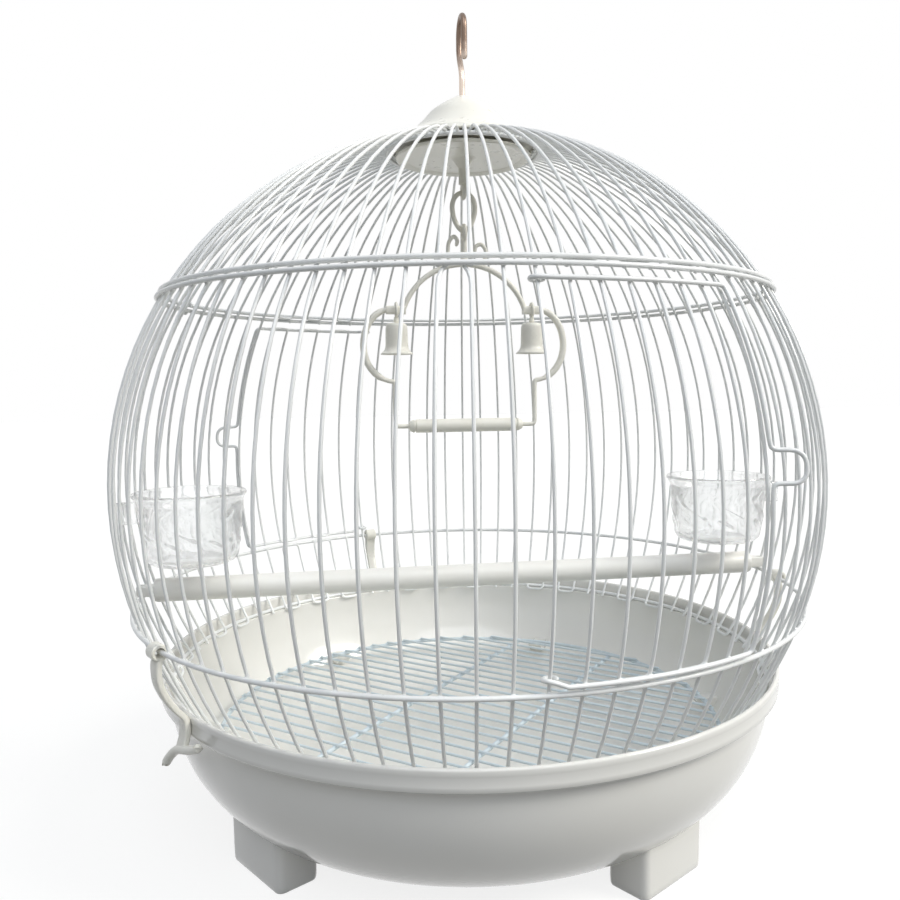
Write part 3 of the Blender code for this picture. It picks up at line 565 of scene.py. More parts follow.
@dataclass(frozen=True)
class GlossyTrayPlastic(Surface):
    """Moulded polystyrene: a hard bright gloss with dust and fine rubbed marks."""

    dust: str = "#DEDCD4"
    rub_mm: float = 2.5

    def made(self) -> bpy.types.Material:
        """Make the material, with dust that lies thinly on surfaces that face up."""
        made, tree, shader = self.start()
        shader.inputs["IOR"].default_value = 1.55
        shader.inputs["Coat Weight"].default_value = 0.35
        shader.inputs["Coat Roughness"].default_value = 0.05
        base = shader.inputs["Base Color"].links[0].from_socket
        facing = add(tree, "ShaderNodeSeparateXYZ",
                     {0: add(tree, "ShaderNodeNewGeometry").outputs["Normal"]}).outputs["Z"]
        place = add(tree, "ShaderNodeTexCoord").outputs["Object"]
        specks = add(tree, "ShaderNodeTexNoise",
                     {"Vector": place, "Scale": per_metre(self.rub_mm), "Detail": 6.0})
        lie = add(tree, "ShaderNodeMath", {0: facing, 1: specks.outputs[0]}, operation="MULTIPLY")
        amount = add(tree, "ShaderNodeMapRange",
                     {0: lie.outputs[0], 1: 0.35, 2: 0.9, 3: 0.0, 4: 0.3})
        mix = add(tree, "ShaderNodeMix", {0: amount.outputs[0], 6: base, 7: linear(self.dust)},
                  data_type="RGBA")
        tree.links.new(mix.outputs[2], shader.inputs["Base Color"])
        return made


@dataclass(frozen=True)
class ClearPolystyrene(Surface):
    """Clear moulded polystyrene: glassy, with slight flow ripples and handling haze."""

    body: float = 0.8

    def made(self) -> bpy.types.Material:
        """Make the material: clear through, with its body thinned so that it stays pale."""
        made, _, shader = self.start()
        shader.inputs["Transmission Weight"].default_value = 1.0
        shader.inputs["IOR"].default_value = 1.59
        shader.inputs["Alpha"].default_value = self.body
        return made


@dataclass(frozen=True)
class PlatedSteel(Surface):
    """Nickel-plated steel rod: bright below, turning dark brown towards its bow."""

    bow_brown: str = "#5A4436"
    brown_from: float = 0.010
    brown_to: float = 0.026

    def made(self) -> bpy.types.Material:
        """Make the material, darker brown by height over the hook's own foot."""
        made, tree, shader = self.start()
        shader.inputs["Metallic"].default_value = 1.0
        base = shader.inputs["Base Color"].links[0].from_socket
        place = add(tree, "ShaderNodeTexCoord").outputs["Object"]
        height = add(tree, "ShaderNodeSeparateXYZ", {0: place}).outputs["Z"]
        edge = add(tree, "ShaderNodeTexNoise", {"Vector": place, "Scale": per_metre(5.0)})
        sway = add(tree, "ShaderNodeMath", {0: edge.outputs[0], 1: 0.012, 2: height},
                   operation="MULTIPLY_ADD")
        amount = add(tree, "ShaderNodeMapRange",
                     {0: sway.outputs[0], 1: self.brown_from + 0.006, 2: self.brown_to + 0.006,
                      3: 0.0, 4: 0.85})
        mix = add(tree, "ShaderNodeMix", {0: amount.outputs[0], 6: base, 7: linear(self.bow_brown)},
                  data_type="RGBA")
        tree.links.new(mix.outputs[2], shader.inputs["Base Color"])
        return made


class Palette:
    """The cage's finishes, made once."""

    def __init__(self) -> None:
        """Make every finish."""
        # Epoxy powder coat on the cage's steel wire: near white, satin, softly rippled
        self.cage_wire = PowderCoatedWire(
            "powder_coated_steel_wire", "#FAFAF8", "#EFF1F0", patch_mm=12.0, gloss=(0.26, 0.42),
            gloss_mm=3.0, grain_mm=0.7, grain_depth_mm=0.04).made()
        # The grate's wire is coloured a darker blue-grey than the cage's: painted cool shade from inside
        # the tray; its gloss is dulled by litter
        self.grate_wire = PowderCoatedWire(
            "coated_grate_wire_painted_cool_shade", "#DCE6EA", "#C6D3DA", patch_mm=14.0,
            gloss=(0.32, 0.5), gloss_mm=4.0, grain_mm=0.8, grain_depth_mm=0.05).made()
        # Ivory polypropylene of the cap, hanger, link, swing, bells and latches
        self.ivory = MouldedPlastic(
            "ivory_polypropylene", "#FBF9F0", "#F4F1E4", patch_mm=18.0, gloss=(0.26, 0.36),
            gloss_mm=6.0, grain_mm=0.9, grain_depth_mm=0.012).made()
        # White polypropylene of the perch, with flow marks along its length
        self.perch = MouldedPlastic(
            "white_polypropylene_perch", "#FCFBF6", "#F5F3EB", patch_mm=22.0, gloss=(0.32, 0.44),
            gloss_mm=7.0, grain_mm=1.4, grain_depth_mm=0.03, stretch=(0.12, 1.0, 1.0)).made()
        # High-gloss polystyrene of the tray
        self.tray = GlossyTrayPlastic(
            "gloss_polystyrene_tray", "#F2F1EC", "#ECEAE3", patch_mm=60.0, gloss=(0.08, 0.2),
            gloss_mm=12.0, grain_mm=6.0, grain_depth_mm=0.03).made()
        # Clear polystyrene of the two cups
        self.clear = ClearPolystyrene(
            "clear_polystyrene_cup", "#FFFFFF", "#FAFCFC", patch_mm=20.0, gloss=(0.02, 0.06),
            gloss_mm=6.0, grain_mm=3.0, grain_depth_mm=0.05).made()
        # Nickel plate on the hook and its nut
        self.steel = PlatedSteel(
            "nickel_plated_steel_rod", "#E4D6CA", "#D2C0B2", patch_mm=5.0, gloss=(0.30, 0.42),
            gloss_mm=4.0, grain_mm=1.5, grain_depth_mm=0.005).made()


def seen_directly(tree: bpy.types.NodeTree) -> bpy.types.NodeSocket:
    """One for rays from the eye, off gloss and through glass, and nothing for all others."""
    path = add(tree, "ShaderNodeLightPath").outputs
    seen = add(tree, "ShaderNodeMath", {0: path["Is Camera Ray"], 1: path["Is Glossy Ray"]},
               operation="MAXIMUM")
    return add(tree, "ShaderNodeMath", {0: seen.outputs[0], 1: path["Is Transmission Ray"]},
               operation="MAXIMUM").outputs[0]


def settle(item: bpy.types.Object, look: bpy.types.Material, body: Body, slot: Slot,
           *nodes: str) -> None:
    """Dress a piece, let it ride on its body and stand for its CAD nodes.

    Args:
        item: The piece, in place.
        look: Its material.
        body: The body that it moves with.
        slot: The record's slot for its finish; not used.
        *nodes: The CAD nodes that it replaces.
    """
    item.data.materials.clear()
    item.data.materials.append(look)
    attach(item, body.value)
    if nodes:
        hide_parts(*nodes)
    LOG.info("%s rides on %s", item.name, body.value)


# The ball of bars

@dataclass(frozen=True)
class Ball:
    """The sphere that the bars, rings and doors follow."""

    radius: float = 0.1896
    height: float = 0.180
    bars: int = 84
    bar_radius: float = 0.0008
    ring_radius: float = 0.0011
    foot_z: float = 0.0800
    shoulder: float = 18.0
    crown_radius: float = 0.0405
    crown_z: float = 0.3632

    @property
    def pitch(self) -> float:
        """Degrees from one bar to the next."""
        return 360.0 / self.bars

    def angle_at(self, height: float) -> float:
        """Polar angle of the sphere at a height."""
        return math.degrees(math.acos((height - self.height) / self.radius))

    def point(self, azimuth: float, height: float, offset: float = 0.0) -> Vector:
        """Point on the sphere at a height.

        Args:
            azimuth: Its azimuth.
            height: Its height.
            offset: Distance outside the sphere.

        Returns:
            The point.
        """
        reach = math.sqrt((self.radius + offset) ** 2 - (height - self.height) ** 2)
        return polar(reach, azimuth, height)

    def meridian(self, azimuth: float, low: float, high: float, steps: int,
                 offset: float = 0.0) -> Line:
        """Upward line on the sphere.

        Args:
            azimuth: Its azimuth.
            low: Height of its first point.
            high: Height of its last point.
            steps: Number of runs.
            offset: Distance outside the sphere.

        Returns:
            The points from low to high.
        """
        reach = self.radius + offset
        line = []
        for turn in spread(self.angle_at(low), self.angle_at(high), steps):
            angle = math.radians(turn)
            rise = reach * math.cos(angle)
            line.append(polar(reach * math.sin(angle), azimuth, self.height + rise))
        return line

    def bar(self, index: int, low: float) -> Line:
        """Middle of one bar from a height up to the crown."""
        azimuth = index * self.pitch
        top = self.height + self.radius * math.cos(math.radians(self.shoulder))
        steps = 30 if low < self.height else 12
        line = self.meridian(azimuth, low, top, steps)
        end = polar(self.crown_radius, azimuth, self.crown_z)
        return line[:-1] + fillet([line[-2], line[-1], end], 0.006, 4)[1:]

    def hairpin(self, index: int) -> Line:
        """Turn at the crown from one bar to the next one."""
        azimuth = (index + 0.5) * self.pitch
        half = self.crown_radius * math.sin(math.radians(self.pitch / 2))
        centre = polar(self.crown_radius * math.cos(math.radians(self.pitch / 2)), azimuth, self.crown_z)
        side = polar(half, azimuth + 90.0)
        inward = polar(-half, azimuth)
        return arc(centre, side, inward, 180.0, 0.0, 8)[1:-1]

    def outside(self, height: float) -> float:
        """Radius of a ring's middle where it touches the bars from outside."""
        reach = self.radius + self.bar_radius + self.ring_radius - 0.0001
        return math.sqrt(reach ** 2 - (height - self.height) ** 2)


@dataclass(frozen=True)
class BarCage:
    """All bars of the cage wall, bent in pairs."""

    ball: Ball
    panel_starts: tuple[int, ...] = (0, 8, 14, 20, 26, 32, 38, 46, 54, 60, 66, 72, 78)
    doors: tuple[int, int] = (0, 46)
    door_span: int = 7
    head_z: float = 0.2822
    stub_top_z: float = 0.1210
    arch_pair: tuple[int, int] = (81, 82)
    arch_top_z: float = 0.2814
    bend: float = 0.0030

    def in_doorway(self, index: int) -> bool:
        """Whether a bar is interrupted by one of the doors."""
        return any(door < index < door + self.door_span for door in self.doors)

    def build(self, look: bpy.types.Material) -> None:
        """Build the panels and the short bars under the doors."""
        ends = self.panel_starts[1:] + (self.ball.bars,)
        for number, (first, end) in enumerate(zip(self.panel_starts, ends), 1):
            shape = Shape()
            for line in self.panel(first, end):
                shape.tube(line, self.ball.bar_radius, 8)
            item = shape.finished(f"bent_bars_{number}")
            settle(item, look, Body.CAGE, Slot.CAGE_WIRE, f"bar_panel_{number}")
        for door, side in zip(self.doors, ("front", "rear")):
            item = Shape().tube(self.stubs(door), self.ball.bar_radius, 8).finished(f"short_bars_{side}")
            settle(item, look, Body.CAGE, Slot.CAGE_WIRE, f"door_stubs_{side}")

    def panel(self, first: int, end: int) -> list[Line]:
        """Lines of one panel's wires.

        Args:
            first: Its first bar.
            end: The bar after its last one.

        Returns:
            One line for each unbroken wire.
        """
        lines: list[Line] = [[]]
        for index in range(first, end):
            low = self.head_z if self.in_doorway(index) else self.ball.foot_z
            if index in self.arch_pair:
                low = self.head_z
            line = self.ball.bar(index, low)
            if (index - first) % 2 == 0:
                lines[-1] += line + self.ball.hairpin(index)
            else:
                lines[-1] += reversed(line)
            if index == self.arch_pair[0]:
                lines.append([])
        if self.arch_pair[0] in range(first, end):
            lines.append(self.arched_pair())
        return [eased(line, SHARP_TURN, self.bend) for line in lines]

    def arched_pair(self) -> Line:
        """The one pair that turns back in an arch under the shoulder rings."""
        one, two = (index * self.ball.pitch for index in self.arch_pair)
        shoulder = self.arch_top_z - 0.009
        rising = self.ball.meridian(one, self.ball.foot_z, shoulder, 26)
        middle = (one + two) / 2
        centre = self.ball.point(middle, shoulder)
        side = (self.ball.point(two, shoulder) - self.ball.point(one, shoulder)) / 2
        up = self.ball.point(middle, self.arch_top_z) - centre
        turn = arc(centre, side, up, 180.0, 0.0, 10)[1:-1]
        falling = list(reversed(self.ball.meridian(two, self.ball.foot_z, shoulder, 26)))
        return rising + turn + falling

    def stubs(self, door: int) -> Line:
        """Line of the short bars under one door."""
        line: Line = []
        for step in range(self.door_span - 1):
            run = self.ball.meridian((door + 1 + step) * self.ball.pitch, self.ball.foot_z,
                                     self.stub_top_z, 5)
            line += reversed(run) if step % 2 == 0 else run
        return eased(line, SHARP_TURN, self.bend)


@dataclass(frozen=True)
class CageRings:
    """The five rings, their weld beads and the two clips of the shoulder pair."""

    ball: Ball
    upper_z: float = 0.2808
    upper_rise: float = 0.00285
    lower_z: float = 0.1210
    base_z: float = 0.0820
    crown_drop: float = 0.0018
    crown_reach: float = 0.0415
    clip_bars: tuple[float, float] = (-24.5, 17.5)
    clip_radius: float = 0.0008
    steps: int = 168

    def build(self, look: bpy.types.Material) -> None:
        """Build the rings with their beads, and the clips."""
        base = math.sqrt(self.ball.radius ** 2 - (self.base_z - self.ball.height) ** 2)
        base += self.ball.bar_radius + self.ball.ring_radius - 0.0001
        rings = {
            "upper_ring_top": (self.ball.outside(self.upper_z + self.upper_rise),
                               self.upper_z + self.upper_rise),
            "upper_ring_bottom": (self.ball.outside(self.upper_z), self.upper_z),
            "lower_ring": (self.ball.outside(self.lower_z), self.lower_z),
            "base_ring": (base, self.base_z),
            "crown_ring": (self.crown_reach, self.ball.crown_z - self.crown_drop),
        }
        for node, (radius, height) in rings.items():
            centre = Vector((0.0, 0.0, height))
            line = hoop(centre, Vector((radius, 0.0, 0.0)), Vector((0.0, radius, 0.0)), self.steps)
            shape = Shape().tube(line, self.ball.ring_radius, 12, closed=True)
            self.add_beads(shape, node, radius, height)
            settle(shape.finished(f"{node}_wire"), look, Body.CAGE, Slot.CAGE_WIRE, node)
        for node, place in zip(("ring_clip_left", "ring_clip_right"), self.clip_bars):
            shape = Shape().tube(*self.clip(place * self.ball.pitch), 8)
            settle(shape.finished(f"{node}_wire"), look, Body.CAGE, Slot.CAGE_WIRE, node)

    def add_beads(self, shape: Shape, node: str, radius: float, height: float) -> None:
        """Add the coating that fills the corner at each weld.

        Args:
            shape: The ring in the making.
            node: The ring's name.
            radius: The ring's radius.
            height: Its height.
        """
        for index in range(self.ball.bars):
            azimuth = index * self.ball.pitch
            if node == "crown_ring":
                spot = polar(radius, azimuth, height + self.ball.ring_radius)
                shape.bead(spot, Vector((0.0, 0.0, 1.0)), 0.0012, 0.0004)
            else:
                out = polar(radius, azimuth, height) - Vector((0.0, 0.0, self.ball.height))
                spot = polar(radius, azimuth, height) - out.normalized() * self.ball.ring_radius
                shape.bead(spot, out, 0.0012, 0.0005)

    def clip(self, azimuth: float) -> tuple[Line, list[float]]:
        """Line and radii of a wire clip that wraps both shoulder rings."""
        top_z = self.upper_z + self.upper_rise
        top = polar(self.ball.outside(top_z), azimuth, top_z)
        foot = polar(self.ball.outside(self.upper_z), azimuth, self.upper_z)
        up = (top - foot).normalized()
        out = polar(1.0, azimuth) - up * polar(1.0, azimuth).dot(up)
        reach = self.ball.ring_radius + self.clip_radius
        out = out.normalized() * reach
        line = arc(top, out, up * reach, 175.0, 0.0, 10)
        line += arc(foot, out, up * reach, 0.0, -175.0, 10)
        return round_ends(line, self.clip_radius)


@dataclass(frozen=True)
class WireDoor:
    """One door: a wire frame with two eyes and a finger loop, and its own bars."""

    ball: Ball
    hinge_bar: int
    body: Body
    span: int = 7
    wire_radius: float = 0.0010
    top_z: float = 0.2750
    eye_z: float = 0.1270
    foot_z: float = 0.1244
    offset: float = 0.0024
    eye_reach: float = 0.0025
    hinge_offset: float = -0.0002
    eye_rise: float = 0.0005
    loop_z: float = 0.2020
    loop_height: float = 0.0140
    loop_reach: float = 0.0130
    bend: float = 0.0028
    corner: float = 0.004
    corner_run: float = 0.006

    def build(self, look: bpy.types.Material) -> None:
        """Build the frame and the bars of the door."""
        name = self.body.value
        line, radii = round_ends(self.frame_line(), self.wire_radius)
        item = Shape().tube(line, radii, 10).finished(f"{name}_wire_frame")
        settle(item, look, self.body, Slot.CAGE_WIRE, f"{name}_frame")
        shape = Shape()
        shape.tube(self.bars_line(), self.ball.bar_radius, 8)
        for step in range(1, self.span):
            for height in (self.foot_z, self.top_z):
                azimuth = (self.hinge_bar + step) * self.ball.pitch
                spot = self.ball.point(azimuth, height, self.offset - self.wire_radius)
                shape.bead(spot, spot - Vector((0.0, 0.0, self.ball.height)), 0.0013, 0.0005)
        settle(shape.finished(f"{name}_bent_bars"), look, self.body, Slot.CAGE_WIRE, f"{name}_bars")

    def edge(self, step: float, height: float) -> Vector:
        """Point on the frame's surface, in bars from the hinge."""
        return self.ball.point((self.hinge_bar + step) * self.ball.pitch, height, self.offset)

    def eye(self, height: float, start: float, end: float) -> Line:
        """Turn of wire round the hinge bar.

        Args:
            height: Height of the eye.
            start: First angle, from straight outwards towards the door.
            end: Last angle.

        Returns:
            Points of the turn.
        """
        azimuth = self.hinge_bar * self.ball.pitch
        centre = self.ball.point(azimuth, height, self.hinge_offset)
        hinge = self.ball.point(azimuth, self.top_z) - self.ball.point(azimuth, self.eye_z)
        side = polar(1.0, azimuth + 90.0)
        out = side.cross(hinge).normalized()
        if out.dot(polar(1.0, azimuth)) < 0.0:
            out = -out
        step = hinge.normalized() * self.eye_rise * (-1.0 if height > self.loop_z else 1.0)
        line = arc(centre, out * self.eye_reach, side * self.eye_reach, start, end, 18)
        return [point + step * abs(turn / 360.0) for point, turn in zip(line, spread(start, end, 18))]

    def frame_line(self) -> Line:
        """Middle of the frame's wire, from the upper eye round to the lower one."""
        steps = [step / 2 for step in range(1, self.span * 2 + 1)]
        half = self.loop_height / 2
        free = float(self.span)
        lean = polar(1.0, (self.hinge_bar + self.span) * self.ball.pitch + 45.0)
        shape = ((0.0, half + 0.004), (0.10, half), (0.72, half - 0.0006), (1.0, 0.0032),
                 (1.0, -0.0032), (0.72, -half + 0.0006), (0.10, -half), (0.0, -half - 0.004))
        loop = flowing([self.edge(free, self.loop_z + rise) + lean * (self.loop_reach * share)
                        for share, rise in shape], 4)
        line = self.eye(self.top_z, -300.0, 0.0)
        line += [self.edge(step, self.top_z) for step in steps[:-1]]
        high, low = self.top_z - self.corner_run, self.foot_z + self.corner_run
        run = half + self.corner_run
        corner = [self.edge(free - 0.5, self.top_z), self.edge(free, self.top_z), self.edge(free, high)]
        line += fillet(corner, self.corner, 5)[1:-1]
        line += [self.edge(free, z) for z in spread(high, self.loop_z + run, 10)]
        line += loop
        line += [self.edge(free, z) for z in spread(self.loop_z - run, low, 12)]
        corner = [self.edge(free, low), self.edge(free, self.foot_z),
                  self.edge(free - 0.5, self.foot_z)]
        line += fillet(corner, self.corner, 5)[1:-1]
        line += [self.edge(step, self.foot_z) for step in reversed(steps[:-1])]
        lower = self.eye(self.eye_z, 0.0, -300.0)
        return line + [line[-1].lerp(lower[0], 0.6), *lower[1:]]

    def bars_line(self) -> Line:
        """Middle of the one wire that makes the door's bars."""
        reach = self.offset - self.wire_radius - self.ball.bar_radius + 0.0001
        corners: Line = []
        low, high = self.foot_z - 0.0002, self.top_z + 0.0002
        for step in range(1, self.span):
            run = self.ball.meridian((self.hinge_bar + step) * self.ball.pitch, low, high, 24, reach)
            corners += run if step % 2 else reversed(run)
        return eased(corners, SHARP_TURN, self.bend)


# Tray and grate

@dataclass(frozen=True)
class BowlTray:
    """The moulded tray: banded rim, ledge, bowl, four feet and six inner lugs."""

    rim_radius: float = 0.17053
    rim_top_z: float = 0.0885
    band_height: float = 0.0105
    band_step: float = 0.0048
    wall: float = 0.0026
    floor_radius: float = 0.105
    floor_z: float = 0.0090
    foot_azimuths: tuple[float, ...] = (-57.0, 33.0, 123.0, 213.0)
    foot_width: float = 0.046
    foot_depth: float = 0.0225
    foot_top_z: float = 0.024
    lugs: int = 6
    lug_width: float = 0.010
    lug_height: float = 0.006
    lug_top_z: float = 0.0431
    lug_reach: float = 0.0035
    grate_radius: float = 0.1419
    steps: int = 192

    @property
    def bowl_z(self) -> float:
        """Height where the band ends and the bowl begins."""
        return self.rim_top_z - self.band_height

    @property
    def bowl_radius(self) -> float:
        """Radius of the bowl at its top."""
        return self.rim_radius - self.band_step

    def bowl(self, shrink: float, steps: int) -> Line:
        """Quarter ellipse of the bowl's wall, from its top down to its floor."""
        centre = Vector((self.floor_radius, 0.0, self.bowl_z))
        wide = Vector((self.bowl_radius - self.floor_radius - shrink, 0.0, 0.0))
        deep = Vector((0.0, 0.0, self.floor_z - self.bowl_z + shrink))
        return arc(centre, wide, deep, 0.0, 90.0, steps)

    def wall_z(self, radius: float, shrink: float) -> float:
        """Height of the bowl's wall at a radius."""
        wide = self.bowl_radius - self.floor_radius - shrink
        deep = self.bowl_z - self.floor_z - shrink
        return self.bowl_z - deep * math.sqrt(max(1.0 - ((radius - self.floor_radius) / wide) ** 2, 0.0))

    def wall_radius(self, height: float, shrink: float) -> float:
        """Radius of the bowl's wall at a height."""
        wide = self.bowl_radius - self.floor_radius - shrink
        deep = self.bowl_z - self.floor_z - shrink
        return self.floor_radius + wide * math.sqrt(1.0 - ((self.bowl_z - height) / deep) ** 2)

    def profile(self) -> Profile:
        """Profile of the tray from under its middle, over the rim, to its inner floor."""
        rim, top, band = self.rim_radius, self.rim_top_z, self.bowl_z
        inner = rim - self.wall
        step = self.band_step
        outer = [(rim - step * 0.93, band - 0.0018), (rim - step * 0.78, band - 0.0008),
                 (rim - step * 0.50, band - 0.0002), (rim - 0.0008, band), (rim - 0.0001, band + 0.0008),
                 (rim, band + 0.0030), (rim - 0.0003, top - 0.0040), (rim - 0.0001, top - 0.0034),
                 (rim, top - 0.0022)]
        lip = arc(Vector((rim - 0.0013, 0.0, top - 0.0013)), Vector((0.0013, 0.0, 0.0)),
                  Vector((0.0, 0.0, 0.0013)), 0.0, 180.0, 10)
        ledge_z = band + self.wall
        ledge = fillet(flat([(inner, top - 0.0030), (inner, ledge_z),
                             (self.bowl_radius - self.wall, ledge_z),
                             (self.bowl_radius - self.wall, band - 0.0010)]), 0.0008, 4)
        under = [(0.0, self.floor_z), (0.060, self.floor_z), (0.095, self.floor_z)]
        inside = [(0.095, self.floor_z + self.wall), (0.060, self.floor_z + self.wall),
                  (0.0, self.floor_z + self.wall)]
        return (under + as_profile(reversed(self.bowl(0.0, 30)))[:-2] + outer + as_profile(lip)
                + as_profile(ledge) + as_profile(self.bowl(self.wall, 30))[1:] + inside)

    def foot(self, shape: Shape, azimuth: float) -> None:
        """Add one foot, whose sides run up into the bowl.

        Args:
            shape: The tray in the making.
            azimuth: The foot's azimuth.
        """
        middle = self.wall_radius(self.foot_top_z, 0.0) - 0.0003 - self.foot_depth / 2
        out, side = polar(1.0, azimuth), polar(1.0, azimuth + 90.0)
        outline = rounded_box(self.foot_depth, self.foot_width, 0.004, 5)
        rings = []
        for shrink, height in ((0.0014, 0.0), (0.0006, 0.0003), (0.0002, 0.0012), (0.0, 0.0040)):
            rings.append([out * (middle + across) + side * up + Vector((0.0, 0.0, height))
                          for across, up in drawn_in(outline, shrink)])
        top = []
        for across, up in outline:
            spot = out * (middle + across) + side * up
            spot.z = max(self.wall_z(spot.length, 0.0) + self.wall * 0.5, 0.006)
            top.append(spot)
        shape.loft([*rings, top])

    def lug(self, shape: Shape, azimuth: float) -> None:
        """Add one inner lug under the grate's rim.

        Args:
            shape: The tray in the making.
            azimuth: The lug's azimuth.
        """
        start = self.grate_radius - self.lug_reach
        foot = self.lug_top_z - self.lug_height
        outline = [(start, self.lug_top_z),
                   (start + 0.0055, foot),
                   (self.wall_radius(foot, self.wall) + self.wall / 2, foot),
                   (self.wall_radius(self.lug_top_z, self.wall) + self.wall / 2, self.lug_top_z)]
        out, side = polar(1.0, azimuth), polar(1.0, azimuth + 90.0)
        place = Matrix((out, Vector((0.0, 0.0, 1.0)), -side)).transposed().to_4x4()
        shape.slab(outline, self.lug_width, 0.0008, place)

    def build(self, look: bpy.types.Material) -> None:
        """Build the tray in one moulding."""
        shape = Shape().turned(self.profile(), self.steps)
        for azimuth in self.foot_azimuths:
            self.foot(shape, azimuth)
        for number in range(self.lugs):
            self.lug(shape, (number + 0.5) * 360.0 / self.lugs)
        settle(shape.finished("moulded_tray", 50.0), look, Body.TRAY, Slot.TRAY, "tray")


def rounded_box(depth: float, width: float, radius: float, steps: int) -> Profile:
    """Corners of a rounded rectangle, anticlockwise.

    Args:
        depth: Its size along the first axis.
        width: Its size along the second axis.
        radius: Radius of its corners.
        steps: Runs in each corner.

    Returns:
        The outline.
    """
    outline = []
    for number, (across, up) in enumerate(((1, 1), (-1, 1), (-1, -1), (1, -1))):
        centre = (across * (depth / 2 - radius), up * (width / 2 - radius))
        for turn in spread(number * 90.0, number * 90.0 + 90.0, steps):
            angle = math.radians(turn)
            outline.append((centre[0] + radius * math.cos(angle), centre[1] + radius * math.sin(angle)))
    return outline


@dataclass(frozen=True)
class WireGrate:
    """The lift-out grate: a rim, two cross wires below and parallel wires on top."""

    radius: float = 0.1419
    rim_radius: float = 0.0012
    wire_radius: float = 0.0008
    rim_z: float = 0.0446
    pitch: float = 0.010
    side_runs: int = 13
    turn: float = 50.0
    cross_distance: float = 0.036

    def build(self, look: bpy.types.Material) -> None:
        """Build the rim, the cross wires and the parallel wires."""
        place = Matrix.Translation((0.0, 0.0, self.rim_z)) @ Matrix.Rotation(
            math.radians(self.turn - 90.0), 4, "Z")
        rim = [place @ point for point in hoop(Vector(), Vector((self.radius, 0.0, 0.0)),
                                               Vector((0.0, self.radius, 0.0)), 144)]
        item = Shape().tube(rim, self.rim_radius, 12, closed=True).finished("grate_rim_wire")
        settle(item, look, Body.GRATE, Slot.GRATE_WIRE, "grate_rim")
        shape = Shape()
        rise = self.rim_radius + self.wire_radius - 0.0001
        for run in range(-self.side_runs, self.side_runs + 1):
            across = run * self.pitch
            half = math.sqrt(self.radius ** 2 - across ** 2) + 0.0004
            ends = [Vector((-half, across, rise)), Vector((half, across, rise))]
            line = [place @ ends[0].lerp(ends[1], share) for share in spread(0.0, 1.0, 6)]
            shape.tube(*round_ends(line, self.wire_radius), 8)
            for spot in (*ends, Vector((self.cross_distance, across, rise)),
                         Vector((-self.cross_distance, across, rise))):
                if spot.length < self.radius + 0.002:
                    shape.bead(place @ (spot - Vector((0.0, 0.0, self.wire_radius))),
                               Vector((0.0, 0.0, 1.0)), 0.0014, 0.0005)
        settle(shape.finished("grate_bars"), look, Body.GRATE, Slot.GRATE_WIRE, "grate_wires")
        half = math.sqrt(self.radius ** 2 - self.cross_distance ** 2) - self.rim_radius * 0.8
        for number, side in enumerate((-1.0, 1.0), 1):
            line = [place @ Vector((side * self.cross_distance, reach, 0.0))
                    for reach in spread(-half, half, 8)]
            item = Shape().tube(line, self.rim_radius, 10).finished(f"grate_cross_bar_{number}")
            settle(item, look, Body.GRATE, Slot.GRATE_WIRE, f"grate_cross_wire_{number}")


@dataclass(frozen=True)
class Latches:
    """Plastic latches that turn on the lower ring and lean on the tray's band."""

    ball: Ball
    tray: BowlTray
    places: tuple[float, ...] = (-13.5, 19.5, 45.5)
    ring_z: float = 0.1210
    width: float = 0.0060
    thickness: float = 0.0030
    barrel_radius: float = 0.0039
    bore_radius: float = 0.0024
    barrel_share: float = 0.62
    barrel_edge: float = 0.0005
    pivot_reach: float = 0.0010
    rim_gap: float = 0.0005
    finger_radius: float = 0.0021

    def build(self, look: bpy.types.Material) -> None:
        """Build each latch in its own body."""
        bodies = (Body.LATCH_1, Body.LATCH_2, Body.LATCH_3)
        for body, place in zip(bodies, self.places):
            azimuth = place * self.ball.pitch
            item = self.latch(azimuth).finished(f"{body.value}_moulding")
            settle(item, look, body, Slot.IVORY, body.value)

    def latch(self, azimuth: float) -> Shape:
        """One latch: barrel, bent strip and the curved finger bar at its foot."""
        ring = self.ball.outside(self.ring_z)
        out, side = polar(1.0, azimuth), polar(1.0, azimuth + 90.0)
        origin = polar(ring, azimuth, self.ring_z)
        pivot = polar(ring + self.pivot_reach, azimuth, self.ring_z)

        def spot(reach: float, along: float, rise: float) -> Vector:
            """Point outwards, sideways and upwards from the ring."""
            return origin + out * reach + side * along + Vector((0.0, 0.0, rise))

        grip = self.tray.rim_radius + self.rim_gap + self.thickness / 2 - ring
        band_top = self.tray.rim_top_z - self.ring_z
        band_foot = self.tray.bowl_z - self.ring_z
        spine = flowing([spot(reach, 0.0, rise) for reach, rise in (
            (0.0010, -0.0030), (0.0018, -0.0070), (0.0014, -0.0140), (-0.0012, -0.0210),
            (grip * 0.55, band_top + 0.0048), (grip, band_top - 0.0010), (grip, band_foot + 0.002),
            (grip + 0.0018, band_foot - 0.0040))], 5)
        count = len(spine) - 1
        widths = [self.width * (1.0 + 0.25 * math.cos(math.pi * i / count) ** 2)
                  for i in range(count + 1)]
        shape = Shape().ribbon(spine, widths, self.thickness, side)
        place = Matrix((out, Vector((0.0, 0.0, 1.0)), -side)).transposed().to_4x4()
        place.translation = pivot
        half, edge = self.width * self.barrel_share, self.barrel_edge
        inner, outer = self.bore_radius, self.barrel_radius
        shape.turned([(inner, half), (outer - edge, half), (outer, half - edge), (outer, -half + edge),
                      (outer - edge, -half), (inner, -half)], 32, place, closed=True)
        finger = flowing([spot(grip + reach, along, band_foot + rise) for reach, along, rise in (
            (0.0046, -0.0130, -0.0150), (0.0038, -0.0095, -0.0105), (0.0028, -0.0045, -0.0062),
            (0.0021, 0.0, -0.0044), (0.0015, 0.0060, -0.0030), (0.0010, 0.0120, -0.0010),
            (0.0004, 0.0165, 0.0012))], 5)
        shape.tube(*round_ends(finger, self.finger_radius), 12)
        return shape


# Perch and cups

